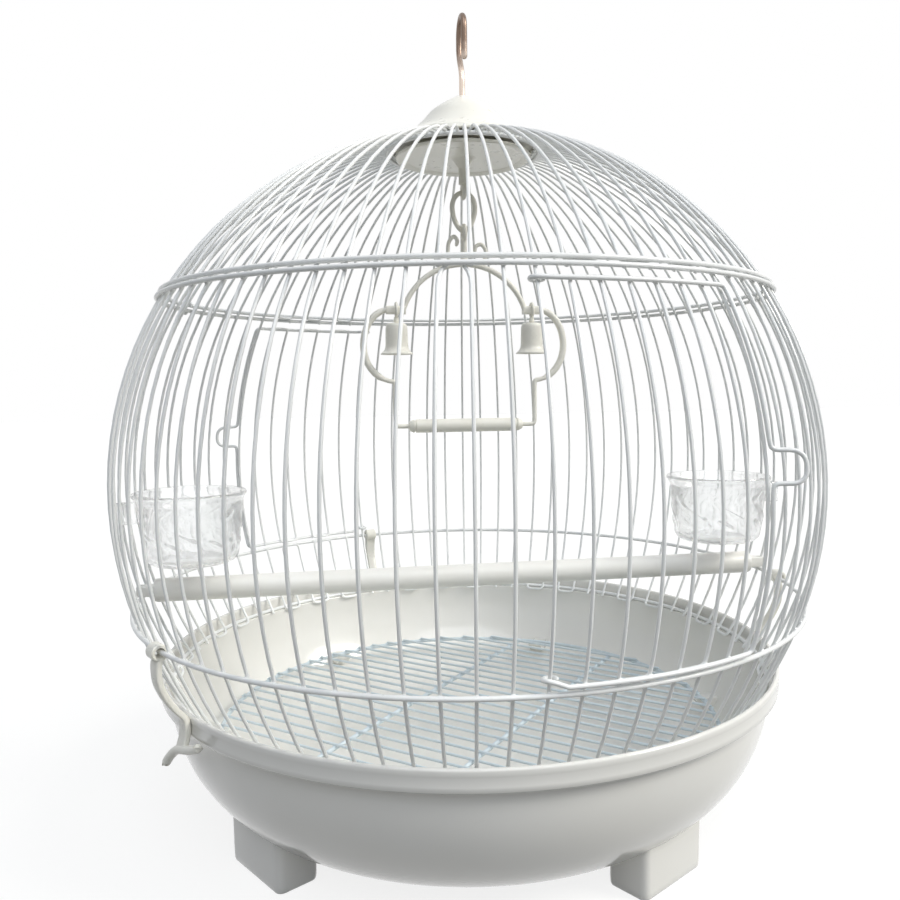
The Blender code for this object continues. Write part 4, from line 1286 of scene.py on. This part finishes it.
@dataclass(frozen=True)
class Perch:
    """Straight rod with forked ends that grip a bar on each side."""

    ball: Ball
    radius: float = 0.0065
    height: float = 0.1260
    setback: float = 0.0078
    fork_length: float = 0.0130
    fork_width: float = 0.0064
    fork_height: float = 0.0060
    fork_past: float = 0.0016
    throat: float = 0.0022
    slot_half: float = 0.0011

    def build(self, look: bpy.types.Material) -> None:
        """Build the rod with its rounded ends and its two forks."""
        reach = -self.ball.point(0.0, self.height).y
        half = reach - self.setback
        rod = self.radius
        profile = [(0.0, -half), (rod - 0.0012, -half), (rod - 0.0004, -half + 0.0004),
                   (rod, -half + 0.0014), (rod, -half * 0.5), (rod, 0.0), (rod, half * 0.5),
                   (rod, half - 0.0014), (rod - 0.0004, half - 0.0004), (rod - 0.0012, half),
                   (0.0, half)]
        lying = Matrix.Translation((0.0, 0.0, self.height)) @ Matrix.Rotation(math.pi / 2, 4, "Y")
        shape = Shape().turned(profile, 40, lying)
        for side in (-1.0, 1.0):
            end = reach + self.fork_past
            outline = fork_outline(end - self.fork_length, end, self.fork_width / 2,
                                   reach - self.throat, self.slot_half)
            place = Matrix.Rotation(0.0 if side > 0 else math.pi, 4, "Z")
            place.translation = (0.0, 0.0, self.height)
            shape.slab(outline, self.fork_height, 0.0006, place)
        settle(shape.finished("perch_rod"), look, Body.CAGE, Slot.PERCH, "perch")


def fork_outline(start: float, end: float, half: float, throat: float, slot: float) -> Profile:
    """Outline of a fork that opens towards its end.

    Args:
        start: Where the fork begins.
        end: Where its prongs end.
        half: Half of its width.
        throat: Where its slot ends, rounded.
        slot: Half of the slot's width.

    Returns:
        The outline, anticlockwise.
    """
    turn = arc(Vector((throat + slot, 0.0, 0.0)), Vector((slot, 0.0, 0.0)), Vector((0.0, slot, 0.0)),
               90.0, 270.0, 8)
    bottom = [(start, -half), (end - 0.0010, -half), (end, -half + 0.0010), (end, -slot - 0.0003)]
    top = [(end, slot + 0.0003), (end, half - 0.0010), (end - 0.0010, half), (start, half)]
    return bottom + [(point.x, point.y) for point in reversed(turn)] + top


@dataclass(frozen=True)
class ClearCup:
    """A clear cup with a raised scroll pattern and a clip that slips over one bar."""

    ball: Ball
    side: float
    body: Body
    setback: float = 0.0361
    base_z: float = 0.1410
    height: float = 0.0390
    top_radius: float = 0.0285
    base_radius: float = 0.0245
    wall: float = 0.0018
    flange: float = 0.0018
    corner: float = 0.0060
    clip_height: float = 0.0120
    clip_half: float = 0.0032
    clip_z: float = 0.1690
    clip_past: float = 0.0021
    throat: float = 0.0023
    slot_half: float = 0.0011
    scrolls: int = 7
    relief: float = 0.0007
    steps: int = 168

    def build(self, look: bpy.types.Material) -> None:
        """Build the cup with its pattern and its clip."""
        reach = -self.ball.point(0.0, self.clip_z).y
        centre = Vector((self.side * (reach - self.setback), 0.0, self.base_z))
        shape = Shape().loft(self.rings(centre))
        start = self.top_radius - self.wall * 0.6
        outline = fork_outline(start, self.setback + self.clip_past, self.clip_half,
                               self.setback - self.throat, self.slot_half)
        place = Matrix.Rotation(0.0 if self.side > 0 else math.pi, 4, "Z")
        place.translation = centre + Vector((0.0, 0.0, self.clip_z - self.base_z))
        shape.slab(outline, self.clip_height, 0.0006, place)
        item = shape.finished(f"{self.body.value}_moulding", 45.0)
        settle(item, look, self.body, Slot.CLEAR, self.body.value)

    def rings(self, centre: Vector) -> list[Line]:
        """Rings of the cup, from under its middle up its outside and down its inside."""
        slope = (self.top_radius - self.base_radius) / self.height
        outer_low = self.base_radius + slope * self.corner
        rim = self.top_radius + self.flange
        heel = arc(Vector((outer_low - self.corner, 0.0, self.corner)),
                   Vector((self.corner, 0.0, 0.0)), Vector((0.0, 0.0, -self.corner)), 90.0, 0.0, 8)
        side = [(outer_low + slope * (z - self.corner), z)
                for z in spread(self.corner + 0.0005, self.height - 0.0055, 44)]
        lip = [(self.top_radius, self.height - 0.0046), (rim - 0.0006, self.height - 0.0022),
               (rim, self.height - 0.0016), (rim, self.height - 0.0006), (rim - 0.0005, self.height),
               (self.top_radius - self.wall + 0.0006, self.height),
               (self.top_radius - self.wall, self.height - 0.0006)]
        low = self.corner + 0.0005
        bowl = arc(Vector((outer_low - self.wall - self.corner * 0.8, 0.0, low)),
                   Vector((self.corner * 0.8, 0.0, 0.0)), Vector((0.0, 0.0, self.wall - low)),
                   0.0, 90.0, 8)
        profile = ([(0.0, 0.0008), (outer_low - self.corner - 0.003, 0.0008)]
                   + [(point.x, point.z) for point in heel] + side + lip
                   + [(point.x, point.z) for point in bowl] + [(0.0, self.wall)])
        rings = []
        for radius, height in profile:
            if radius < 1e-6:
                rings.append([centre + Vector((0.0, 0.0, height))])
                continue
            raised = (radius, height) in side
            ring = []
            for turn in spread(0.0, math.tau, self.steps)[:-1]:
                grown = radius + (self.scroll(turn, height) if raised else 0.0)
                ring.append(centre + Vector((grown * math.cos(turn), grown * math.sin(turn), height)))
            rings.append(ring)
        return rings

    def scroll(self, turn: float, height: float) -> float:
        """Height of the pressed scroll-and-leaf pattern at a point of the wall."""
        up = (height - self.corner) / (self.height - 0.0055 - self.corner)
        fade = math.sin(math.pi * min(max(up, 0.0), 1.0)) ** 0.5
        across = (turn * self.scrolls / math.tau + 0.5 * math.sin(up * 2.2)) % 1.0 - 0.5
        stem = across - 0.26 * math.sin(math.tau * up)
        ridge = math.exp(-(stem / 0.055) ** 2)
        leaf = 0.0
        for place, lift, lean in ((0.24, 0.28, 1.0), (-0.24, 0.72, -1.0), (-0.30, 0.22, -1.0),
                                  (0.30, 0.80, 1.0)):
            one, two = across - place, up - lift
            long, wide = one * 0.8 + two * lean * 0.6, two * 0.8 - one * lean * 0.6
            leaf = max(leaf, math.exp(-((long / 0.13) ** 2 + (wide / 0.07) ** 2) ** 2))
        return self.relief * fade * max(ridge, leaf)


# Crown, hook and swing

@dataclass(frozen=True)
class Crown:
    """Cap over the bars' ends, with the disc, tube and stem that hang below it."""

    foot_z: float = 0.3643
    height: float = 0.0275
    radius: float = 0.0405
    wall: float = 0.0018
    roof: float = 0.0040
    bore: float = 0.0019
    disc_radius: float = 0.0372
    disc_thickness: float = 0.0020
    disc_z: float = 0.3583
    dish_radius: float = 0.0318
    dish_depth: float = 0.0012
    tube_radius: float = 0.0088
    tube_wall: float = 0.0016
    boss_radius: float = 0.0060
    stem_radius: float = 0.0025
    stem_length: float = 0.0163
    eye_radius: float = 0.0036
    eye_wire: float = 0.0013

    def build(self, look: bpy.types.Material) -> None:
        """Build the cap and the hanger."""
        item = Shape().turned(self.cap_profile(), 120, closed=True).finished("cap_moulding")
        settle(item, look, Body.CAGE, Slot.IVORY, "cap")
        shape = Shape().turned(self.hanger_profile(), 96)
        eye_z = self.disc_z - self.stem_length
        eye = hoop(Vector((0.0, 0.0, eye_z)), Vector((0.0, self.eye_radius, 0.0)),
                   Vector((0.0, 0.0, self.eye_radius)), 32)
        shape.tube(eye, self.eye_wire, 12, closed=True)
        settle(shape.finished("hanger_moulding"), look, Body.CAGE, Slot.IVORY, "hanger")

    def cap_profile(self) -> Profile:
        """Closed profile of the cap: down its outside and up its inside."""
        shares = ((0.122, 0.968), (0.19, 0.92), (0.28, 0.84), (0.43, 0.69), (0.57, 0.47),
                  (0.725, 0.27), (0.955, 0.12), (0.995, 0.06))
        outer = flowing(flat([(wide * self.radius, self.foot_z + high * self.height)
                              for wide, high in shares]), 6)
        inner = []
        for before, here, after in zip(outer, outer[1:], outer[2:]):
            run = (after - before).normalized()
            inner.append(here + Vector((run.z, 0.0, -run.x)) * self.wall)
        top, ceiling = self.foot_z + self.height, self.foot_z + self.height - self.roof
        kept = [point for point in reversed(inner)
                if self.foot_z + 0.0004 < point.z < ceiling and point.x > self.tube_radius + 0.0015]
        collar = [(self.bore, top), (self.bore + 0.0011, top), (0.0042, top - 0.0004)]
        edge = [(self.radius, self.foot_z + 0.0007), (self.radius - 0.0004, self.foot_z + 0.0001),
                (self.radius - self.wall + 0.0003, self.foot_z + 0.0001),
                (self.radius - self.wall, self.foot_z + 0.0006)]
        roof = [(self.tube_radius + 0.0010, ceiling), (self.bore, ceiling)]
        return collar + as_profile(outer) + edge + as_profile(kept) + roof

    def hanger_profile(self) -> Profile:
        """Profile of the hanger, from inside its tube, round the disc, to its stem."""
        top = self.disc_z + self.disc_thickness
        tube_top = self.foot_z + self.height - self.roof - 0.0003
        inner, outer, stem = self.tube_radius - self.tube_wall, self.tube_radius, self.stem_radius
        neck = self.disc_z - self.stem_length + self.eye_radius
        dish = self.disc_z + self.dish_depth
        disc = fillet(flat([(outer, tube_top), (outer, top), (self.disc_radius - 0.0006, top),
                            (self.disc_radius, top - 0.0006), (self.disc_radius - 0.0004, self.disc_z),
                            (self.disc_radius - 0.0020, self.disc_z),
                            (self.dish_radius + 0.0006, dish - 0.0004), (self.dish_radius, dish),
                            (self.boss_radius + 0.0018, dish), (self.boss_radius, dish - 0.0006),
                            (stem, self.disc_z - 0.0042), (stem, neck)]), 0.0008, 4)
        return ([(0.0, top + 0.0005), (inner, top + 0.0005), (inner, tube_top)] + as_profile(disc)
                + [(0.0, neck)])


@dataclass(frozen=True)
class Hook:
    """Swivel hook of plated rod with its hexagon nut under the cap's roof."""

    cap_top: float = 0.3918
    roof: float = 0.0040
    radius: float = 0.0016
    height: float = 0.0429
    bow: float = 0.0088
    tip_rise: float = 0.0165
    shoulder_rise: float = 0.0222
    neck_rise: float = 0.0102
    tail: float = 0.0020
    nut_radius: float = 0.0048
    nut_height: float = 0.0030

    def build(self, look: bpy.types.Material) -> None:
        """Build the hook and its nut."""
        bow_rise = self.height - self.radius - self.bow
        foot = -self.roof - 0.0003 - self.nut_height - self.tail
        lower = [(0.0, foot), (0.0, self.neck_rise - 0.006), (0.0, self.neck_rise),
                 (self.bow * 0.25, self.neck_rise + 0.0050), (self.bow * 0.80, self.shoulder_rise),
                 (self.bow, self.shoulder_rise + 0.0050)]
        line = flowing([Vector((0.0, across, rise)) for across, rise in lower], 6)
        line += arc(Vector((0.0, 0.0, bow_rise)), Vector((0.0, self.bow, 0.0)),
                    Vector((0.0, 0.0, self.bow)), 0.0, 180.0, 28)[1:]
        line += [Vector((0.0, -self.bow, rise)) for rise in spread(bow_rise, self.tip_rise, 5)[1:]]
        shape = Shape().tube(*round_ends(line, self.radius), 16)
        item = shape.finished("hook_rod")
        item.location = (0.0, 0.0, self.cap_top)
        settle(item, look, Body.HOOK, Slot.STEEL, "hook")
        nut = Shape()
        rings = []
        half = self.nut_height / 2
        for reach, rise in ((self.radius + 0.0001, -half), (self.nut_radius * 0.86, -half),
                            (self.nut_radius, -half * 0.7), (self.nut_radius, half * 0.7),
                            (self.nut_radius * 0.86, half), (self.radius + 0.0001, half)):
            rings.append(hoop(Vector((0.0, 0.0, rise)), Vector((reach, 0.0, 0.0)),
                              Vector((0.0, reach, 0.0)), 6))
        item = nut.loft(rings, closed=True).finished("hook_hexagon_nut")
        item.location = (0.0, 0.0, self.cap_top - self.roof - 0.0003 - half)
        settle(item, look, Body.HOOK, Slot.STEEL, "hook_nut")


@dataclass(frozen=True)
class Swing:
    """Egg-shaped link, swing frame with its curls and ears, perch and two bells."""

    link_top: float = 0.3412
    link_foot: float = 0.3205
    link_wire: float = 0.0012
    link_half: float = 0.0062
    link_taper: float = 0.22
    wire: float = 0.0015
    ear_wire: float = 0.0019
    leg_wire: float = 0.0013
    eye_radius: float = 0.0036
    eye_wire: float = 0.0013
    arch_top: float = 0.3025
    arch_rise: float = 0.0250
    arch_half: float = 0.0345
    ear_x: float = 0.0425
    ear_reach: float = 0.0570
    leg_x: float = 0.0400
    ear_height: float = 0.0395
    sharp: float = 25.0
    bend: float = 0.0022
    leg_length: float = 0.0250
    pin_end: float = 0.0300
    perch_radius: float = 0.00385
    perch_straight: float = 0.0290
    perch_end: float = 0.0325
    bell_x: float = 0.0385
    bell_drop: float = 0.0070
    bell_height: float = 0.0175
    bell_radius: float = 0.0090
    bell_wall: float = 0.0011
    shelf_height: float = 0.0044
    curl_wire: float = 0.0011
    curls: tuple[tuple[tuple[float, float], ...], ...] = (
        ((-0.0078, -0.0008), (-0.0090, 0.0050), (-0.0086, 0.0115), (-0.0058, 0.0150),
         (-0.0038, 0.0128), (-0.0045, 0.0098)),
        ((0.0078, -0.0008), (0.0112, 0.0020), (0.0124, 0.0070), (0.0098, 0.0108),
         (0.0066, 0.0096), (0.0062, 0.0064)))

    @property
    def arch_foot(self) -> float:
        """Height of the small shelves beside the arch."""
        return self.arch_top - self.arch_rise

    @property
    def perch_z(self) -> float:
        """Height of the swing's perch."""
        return self.arch_foot - self.ear_height - self.leg_length

    def build(self, look: bpy.types.Material) -> None:
        """Build the link, the frame, the perch and the bells."""
        self.build_link(look)
        self.build_frame(look)
        self.build_perch(look)
        for side, body in ((-1.0, Body.BELL_LEFT), (1.0, Body.BELL_RIGHT)):
            self.build_bell(look, side, body)

    def build_link(self, look: bpy.types.Material) -> None:
        """Build the closed link, thicker at its sides."""
        middle, half = (self.link_top + self.link_foot) / 2, (self.link_top - self.link_foot) / 2
        line, radii = [], []
        for turn in spread(0.0, math.tau, 48)[:-1]:
            width = self.link_half * (1.0 + self.link_taper * math.cos(turn))
            line.append(Vector((width * math.sin(turn), 0.0, middle + half * math.cos(turn))))
            radii.append(self.link_wire * (1.0 + 0.18 * abs(math.sin(turn))))
        item = Shape().tube(line, radii, 12, closed=True).finished("hanger_link_moulding")
        settle(item, look, Body.LINK, Slot.IVORY, "hanger_link")

    def half_line(self) -> Line:
        """Right half of the frame's middle, from the arch's top to the pin."""
        arch_radius = (self.arch_half ** 2 + self.arch_rise ** 2) / (2 * self.arch_rise)
        sweep = math.degrees(math.asin(self.arch_half / arch_radius))
        centre = Vector((0.0, 0.0, self.arch_top - arch_radius))
        arch = arc(centre, Vector((arch_radius, 0.0, 0.0)), Vector((0.0, 0.0, arch_radius)),
                   90.0, 90.0 - sweep, 16)
        half = self.ear_height / 2
        middle = self.arch_foot - half
        upper = arc(Vector((self.ear_x, 0.0, middle)), Vector((self.ear_reach - self.ear_x, 0.0, 0.0)),
                    Vector((0.0, 0.0, half)), 90.0, 0.0, 9)
        lower = arc(Vector((self.leg_x, 0.0, middle)), Vector((self.ear_reach - self.leg_x, 0.0, 0.0)),
                    Vector((0.0, 0.0, half)), 0.0, -90.0, 9)[1:]
        leg = [Vector((self.leg_x, 0.0, self.perch_z)), Vector((self.pin_end, 0.0, self.perch_z))]
        return eased(arch + upper + lower + leg, self.sharp, self.bend)

    def thickness(self, point: Vector) -> float:
        """Radius of the frame's rod: stout in the ears, thin in the legs."""
        if point.z > self.arch_foot - 0.001:
            return self.wire
        if point.z > self.arch_foot - self.ear_height + 0.002:
            swell = min((abs(point.x) - self.leg_x) / 0.008, 1.0)
            return self.wire + (self.ear_wire - self.wire) * max(swell, 0.0)
        return self.leg_wire

    def build_frame(self, look: bpy.types.Material) -> None:
        """Build the frame with its eye, neck, curls and shelves."""
        right = self.half_line()
        left = [Vector((-point.x, 0.0, point.z)) for point in reversed(right[1:])]
        line = left + right
        radii = [self.thickness(point) for point in line]
        shape = Shape().tube(line, radii, 12)
        eye_z = self.link_foot + self.link_wire + 0.0003 + self.eye_wire - self.eye_radius
        eye = hoop(Vector((0.0, 0.0, eye_z)), Vector((0.0, self.eye_radius, 0.0)),
                   Vector((0.0, 0.0, self.eye_radius)), 32)
        shape.tube(eye, self.eye_wire, 12, closed=True)
        neck = [(0.0, self.arch_top), (0.0026, self.arch_top + 0.0003),
                (0.0018, self.arch_top + 0.0030),
                (0.0016, eye_z - self.eye_radius - 0.0010), (0.0019, eye_z - self.eye_radius),
                (0.0, eye_z - self.eye_radius + 0.0006)]
        shape.turned(as_profile(flowing(flat(neck), 4)), 24)
        for curl in self.curls:
            line = flowing([Vector((across, 0.0, self.arch_top + rise)) for across, rise in curl], 6)
            tip, taper = round_ends(line, self.curl_wire)
            shape.tube(tip, taper, 10)
        for side in (-1.0, 1.0):
            shelf = [Vector((side * reach, 0.0, self.arch_foot - 0.0002))
                     for reach in spread(self.arch_half - 0.0012, self.ear_x + 0.0016, 6)]
            shape.ribbon(shelf, [0.0052] * 7, self.shelf_height, Vector((0.0, 1.0, 0.0)))
        settle(shape.finished("swing_frame_moulding"), look, Body.SWING, Slot.IVORY, "swing_frame")

    def build_perch(self, look: bpy.types.Material) -> None:
        """Build the turned rod with its grooves and cones."""
        rod, tip = self.perch_radius, self.wire + 0.0009
        half = [(tip, self.perch_end), (tip + 0.0003, self.perch_end - 0.0004),
                (rod - 0.0002, self.perch_straight + 0.0012),
                (rod - 0.0001, self.perch_straight + 0.0006),
                (rod - 0.0007, self.perch_straight + 0.0004),
                (rod - 0.0007, self.perch_straight - 0.0002),
                (rod - 0.0001, self.perch_straight - 0.0004), (rod, self.perch_straight - 0.0012),
                (rod * 0.99, 0.0)]
        mirror = [(reach, -place) for reach, place in reversed(half[:-1])]
        bore = self.wire + 0.0003
        profile = [(bore, self.perch_end), *half, *mirror, (bore, -self.perch_end)]
        place = Matrix.Translation((0.0, 0.0, self.perch_z)) @ Matrix.Rotation(math.pi / 2, 4, "Y")
        item = Shape().turned([(0.0, self.pin_end), (bore, self.pin_end), *profile,
                               (bore, -self.pin_end), (0.0, -self.pin_end)], 40, place)
        settle(item.finished("swing_perch_rod"), look, Body.SWING, Slot.IVORY, "swing_perch")

    def build_bell(self, look: bpy.types.Material, side: float, body: Body) -> None:
        """Build one bell, with its eye round the shelf.

        Args:
            look: The bell's material.
            side: -1 for the left bell, 1 for the right one.
            body: The bell's body.
        """
        deep, wide = self.bell_height, self.bell_radius
        outer = flowing(flat([(0.0, 0.0), (wide * 0.40, -0.0002), (wide * 0.60, -0.05 * deep),
                              (wide * 0.67, -0.18 * deep), (wide * 0.69, -0.45 * deep),
                              (wide * 0.71, -0.74 * deep), (wide * 0.80, -0.87 * deep),
                              (wide, -0.97 * deep)]), 5)
        lip = [(wide, -deep), (wide - 0.0006, -deep)]
        inner = [(wide * 0.74 - self.bell_wall, -0.80 * deep),
                 (wide * 0.66 - self.bell_wall, -0.30 * deep),
                 (wide * 0.48, -0.17 * deep), (0.0, -0.15 * deep)]
        place = Matrix.Translation((side * self.bell_x, 0.0, self.arch_foot - self.bell_drop))
        shape = Shape().turned(as_profile(outer) + lip + inner, 56, place)
        centre = Vector((side * self.bell_x, 0.0, self.arch_foot))
        reach = self.wire + 0.0022
        eye = hoop(centre, Vector((0.0, reach, 0.0)), Vector((0.0, 0.0, reach)), 24)
        shape.tube(eye, 0.0008, 10, closed=True)
        top = -self.bell_drop + 0.0004
        neck = [(0.0, top - 0.0008), (0.0016, top), (0.0012, -reach - 0.0002), (0.0, -reach + 0.0004)]
        shape.turned(neck, 16, Matrix.Translation(centre))
        settle(shape.finished(f"{body.value}_moulding"), look, body, Slot.IVORY, body.value)


# Studio

@dataclass(frozen=True)
class Studio:
    """Pale floor, white surroundings, two soft lights and the photograph's camera."""

    image_size: int = 900
    focal_px: float = 846.3148
    centre_px: tuple[float, float] = (461.914, 479.137)
    sensor: float = 36.0
    distance: float = 0.482
    eye_height: float = 0.236
    azimuth: float = -9.42
    yaw: float = -0.0057651
    pitch: float = -0.1114247
    roll: float = -0.0127110
    key: tuple[float, float, float, float] = (66.0, 36.0, 2.2, 24.0)
    top: tuple[float, float, float, float] = (-4.0, 54.0, 1.35, 50.0)
    key_colour: str = "#FFFCF5"
    top_colour: str = "#F4F8FF"
    fill_low: float = 0.05
    fill_high: float = 0.36
    fill_colour: str = "#EAF3FF"
    floor_colour: str = "#7E7E7C"
    floor_lift: float = 0.83

    def build(self) -> None:
        """Set up the view, the light and the floor."""
        bpy.context.scene.view_settings.view_transform = "Standard"
        self.build_world()
        self.build_light("soft_key_light", self.key_colour, self.key)
        self.build_light("broad_top_light", self.top_colour, self.top)
        self.build_floor()
        self.build_camera()

    def build_world(self) -> None:
        """World that fills softly and shows white to the eye, gloss and glass."""
        world = bpy.data.worlds.new("white_studio")
        world.use_nodes = True
        tree = world.node_tree
        seen = seen_directly(tree)
        way = add(tree, "ShaderNodeTexCoord").outputs["Generated"]
        height = add(tree, "ShaderNodeSeparateXYZ", {0: way}).outputs["Z"]
        fill = add(tree, "ShaderNodeMapRange", {0: height, 1: 0.0, 2: 0.9, 3: self.fill_low,
                                                4: self.fill_high})
        level = add(tree, "ShaderNodeMapRange", {0: seen, 1: 0.0, 2: 1.0, 3: fill.outputs[0],
                                                 4: 1.0})
        tint = add(tree, "ShaderNodeMix", {0: seen, 6: linear(self.fill_colour),
                                           7: (1.0, 1.0, 1.0, 1.0)}, data_type="RGBA")
        shader = tree.nodes["Background"]
        tree.links.new(tint.outputs[2], shader.inputs["Color"])
        tree.links.new(level.outputs[0], shader.inputs["Strength"])
        bpy.context.scene.world = world

    def build_light(self, name: str, colour: str, setting: tuple[float, float, float, float]) -> None:
        """One broad soft light.

        Args:
            name: The light's name.
            colour: Its colour.
            setting: Its azimuth, elevation, strength and width in degrees.
        """
        azimuth, elevation, strength, width = setting
        data = bpy.data.lights.new(name, "SUN")
        data.energy = strength
        data.angle = math.radians(width)
        data.color = linear(colour)[:3]
        item = bpy.data.objects.new(name, data)
        bpy.context.scene.collection.objects.link(item)
        toward = polar(math.cos(math.radians(elevation)), azimuth, math.sin(math.radians(elevation)))
        item.rotation_euler = toward.to_track_quat("Z", "Y").to_euler()

    def build_floor(self) -> None:
        """Plain pale floor that reads as white where no shadow falls."""
        made = bpy.data.materials.new("pale_studio_floor")
        made.use_nodes = True
        tree = made.node_tree
        shader = tree.nodes["Principled BSDF"]
        shader.inputs["Base Color"].default_value = linear(self.floor_colour)
        shader.inputs["Roughness"].default_value = 0.9
        shader.inputs["Specular IOR Level"].default_value = 0.1
        shader.inputs["Emission Color"].default_value = (1.0, 1.0, 1.0, 1.0)
        lift = add(tree, "ShaderNodeMath", {0: seen_directly(tree), 1: self.floor_lift},
                   operation="MULTIPLY")
        tree.links.new(lift.outputs[0], shader.inputs["Emission Strength"])
        shape = Shape()
        corners = [Vector((x * 6.0, y * 6.0, 0.0)) for x, y in ((-1, -1), (1, -1), (1, 1), (-1, 1))]
        shape.mesh.faces.new([shape.mesh.verts.new(corner) for corner in corners])
        floor = shape.finished("studio_floor")
        if floor.data.polygons[0].normal.z < 0.0:
            floor.data.flip_normals()
        floor.data.materials.append(made)

    def build_camera(self) -> None:
        """Camera at the photograph's viewpoint."""
        data = bpy.data.cameras.new("photograph_camera")
        data.sensor_width = self.sensor
        data.lens = self.focal_px * self.sensor / self.image_size
        data.shift_x = (self.image_size / 2 - self.centre_px[0]) / self.image_size
        data.shift_y = (self.centre_px[1] - self.image_size / 2) / self.image_size
        data.clip_start = 0.02
        ahead = Vector((math.sin(self.yaw) * math.cos(self.pitch),
                        math.cos(self.yaw) * math.cos(self.pitch), math.sin(self.pitch)))
        level = Vector((math.cos(self.yaw), -math.sin(self.yaw), 0.0))
        upright = level.cross(ahead)
        right = level * math.cos(self.roll) + upright * math.sin(self.roll)
        up = -level * math.sin(self.roll) + upright * math.cos(self.roll)
        facing = Matrix((right, up, -ahead)).transposed().to_4x4()
        around = Matrix.Rotation(math.radians(self.azimuth), 4, "Z")
        item = bpy.data.objects.new("photograph_camera", data)
        bpy.context.scene.collection.objects.link(item)
        item.matrix_world = Matrix.Translation(polar(self.distance, self.azimuth, self.eye_height)) \
            @ around @ facing
        bpy.context.scene.camera = item


def main() -> None:
    """Build the studio and every piece of the cage in order."""
    logging.basicConfig(level=logging.INFO, format="%(name)s: %(message)s")
    looks = Palette()
    ball = Ball()
    tray = BowlTray()
    Studio().build()
    BarCage(ball).build(looks.cage_wire)
    CageRings(ball).build(looks.cage_wire)
    WireDoor(ball, 0, Body.FRONT_DOOR).build(looks.cage_wire)
    WireDoor(ball, 46, Body.REAR_DOOR).build(looks.cage_wire)
    tray.build(looks.tray)
    WireGrate().build(looks.grate_wire)
    Latches(ball, tray).build(looks.ivory)
    Perch(ball).build(looks.perch)
    ClearCup(ball, -1.0, Body.CUP_LEFT).build(looks.clear)
    ClearCup(ball, 1.0, Body.CUP_RIGHT).build(looks.clear)
    Crown().build(looks.ivory)
    Hook().build(looks.steel)
    Swing().build(looks.ivory)


if __name__ == "__main__":
    main()
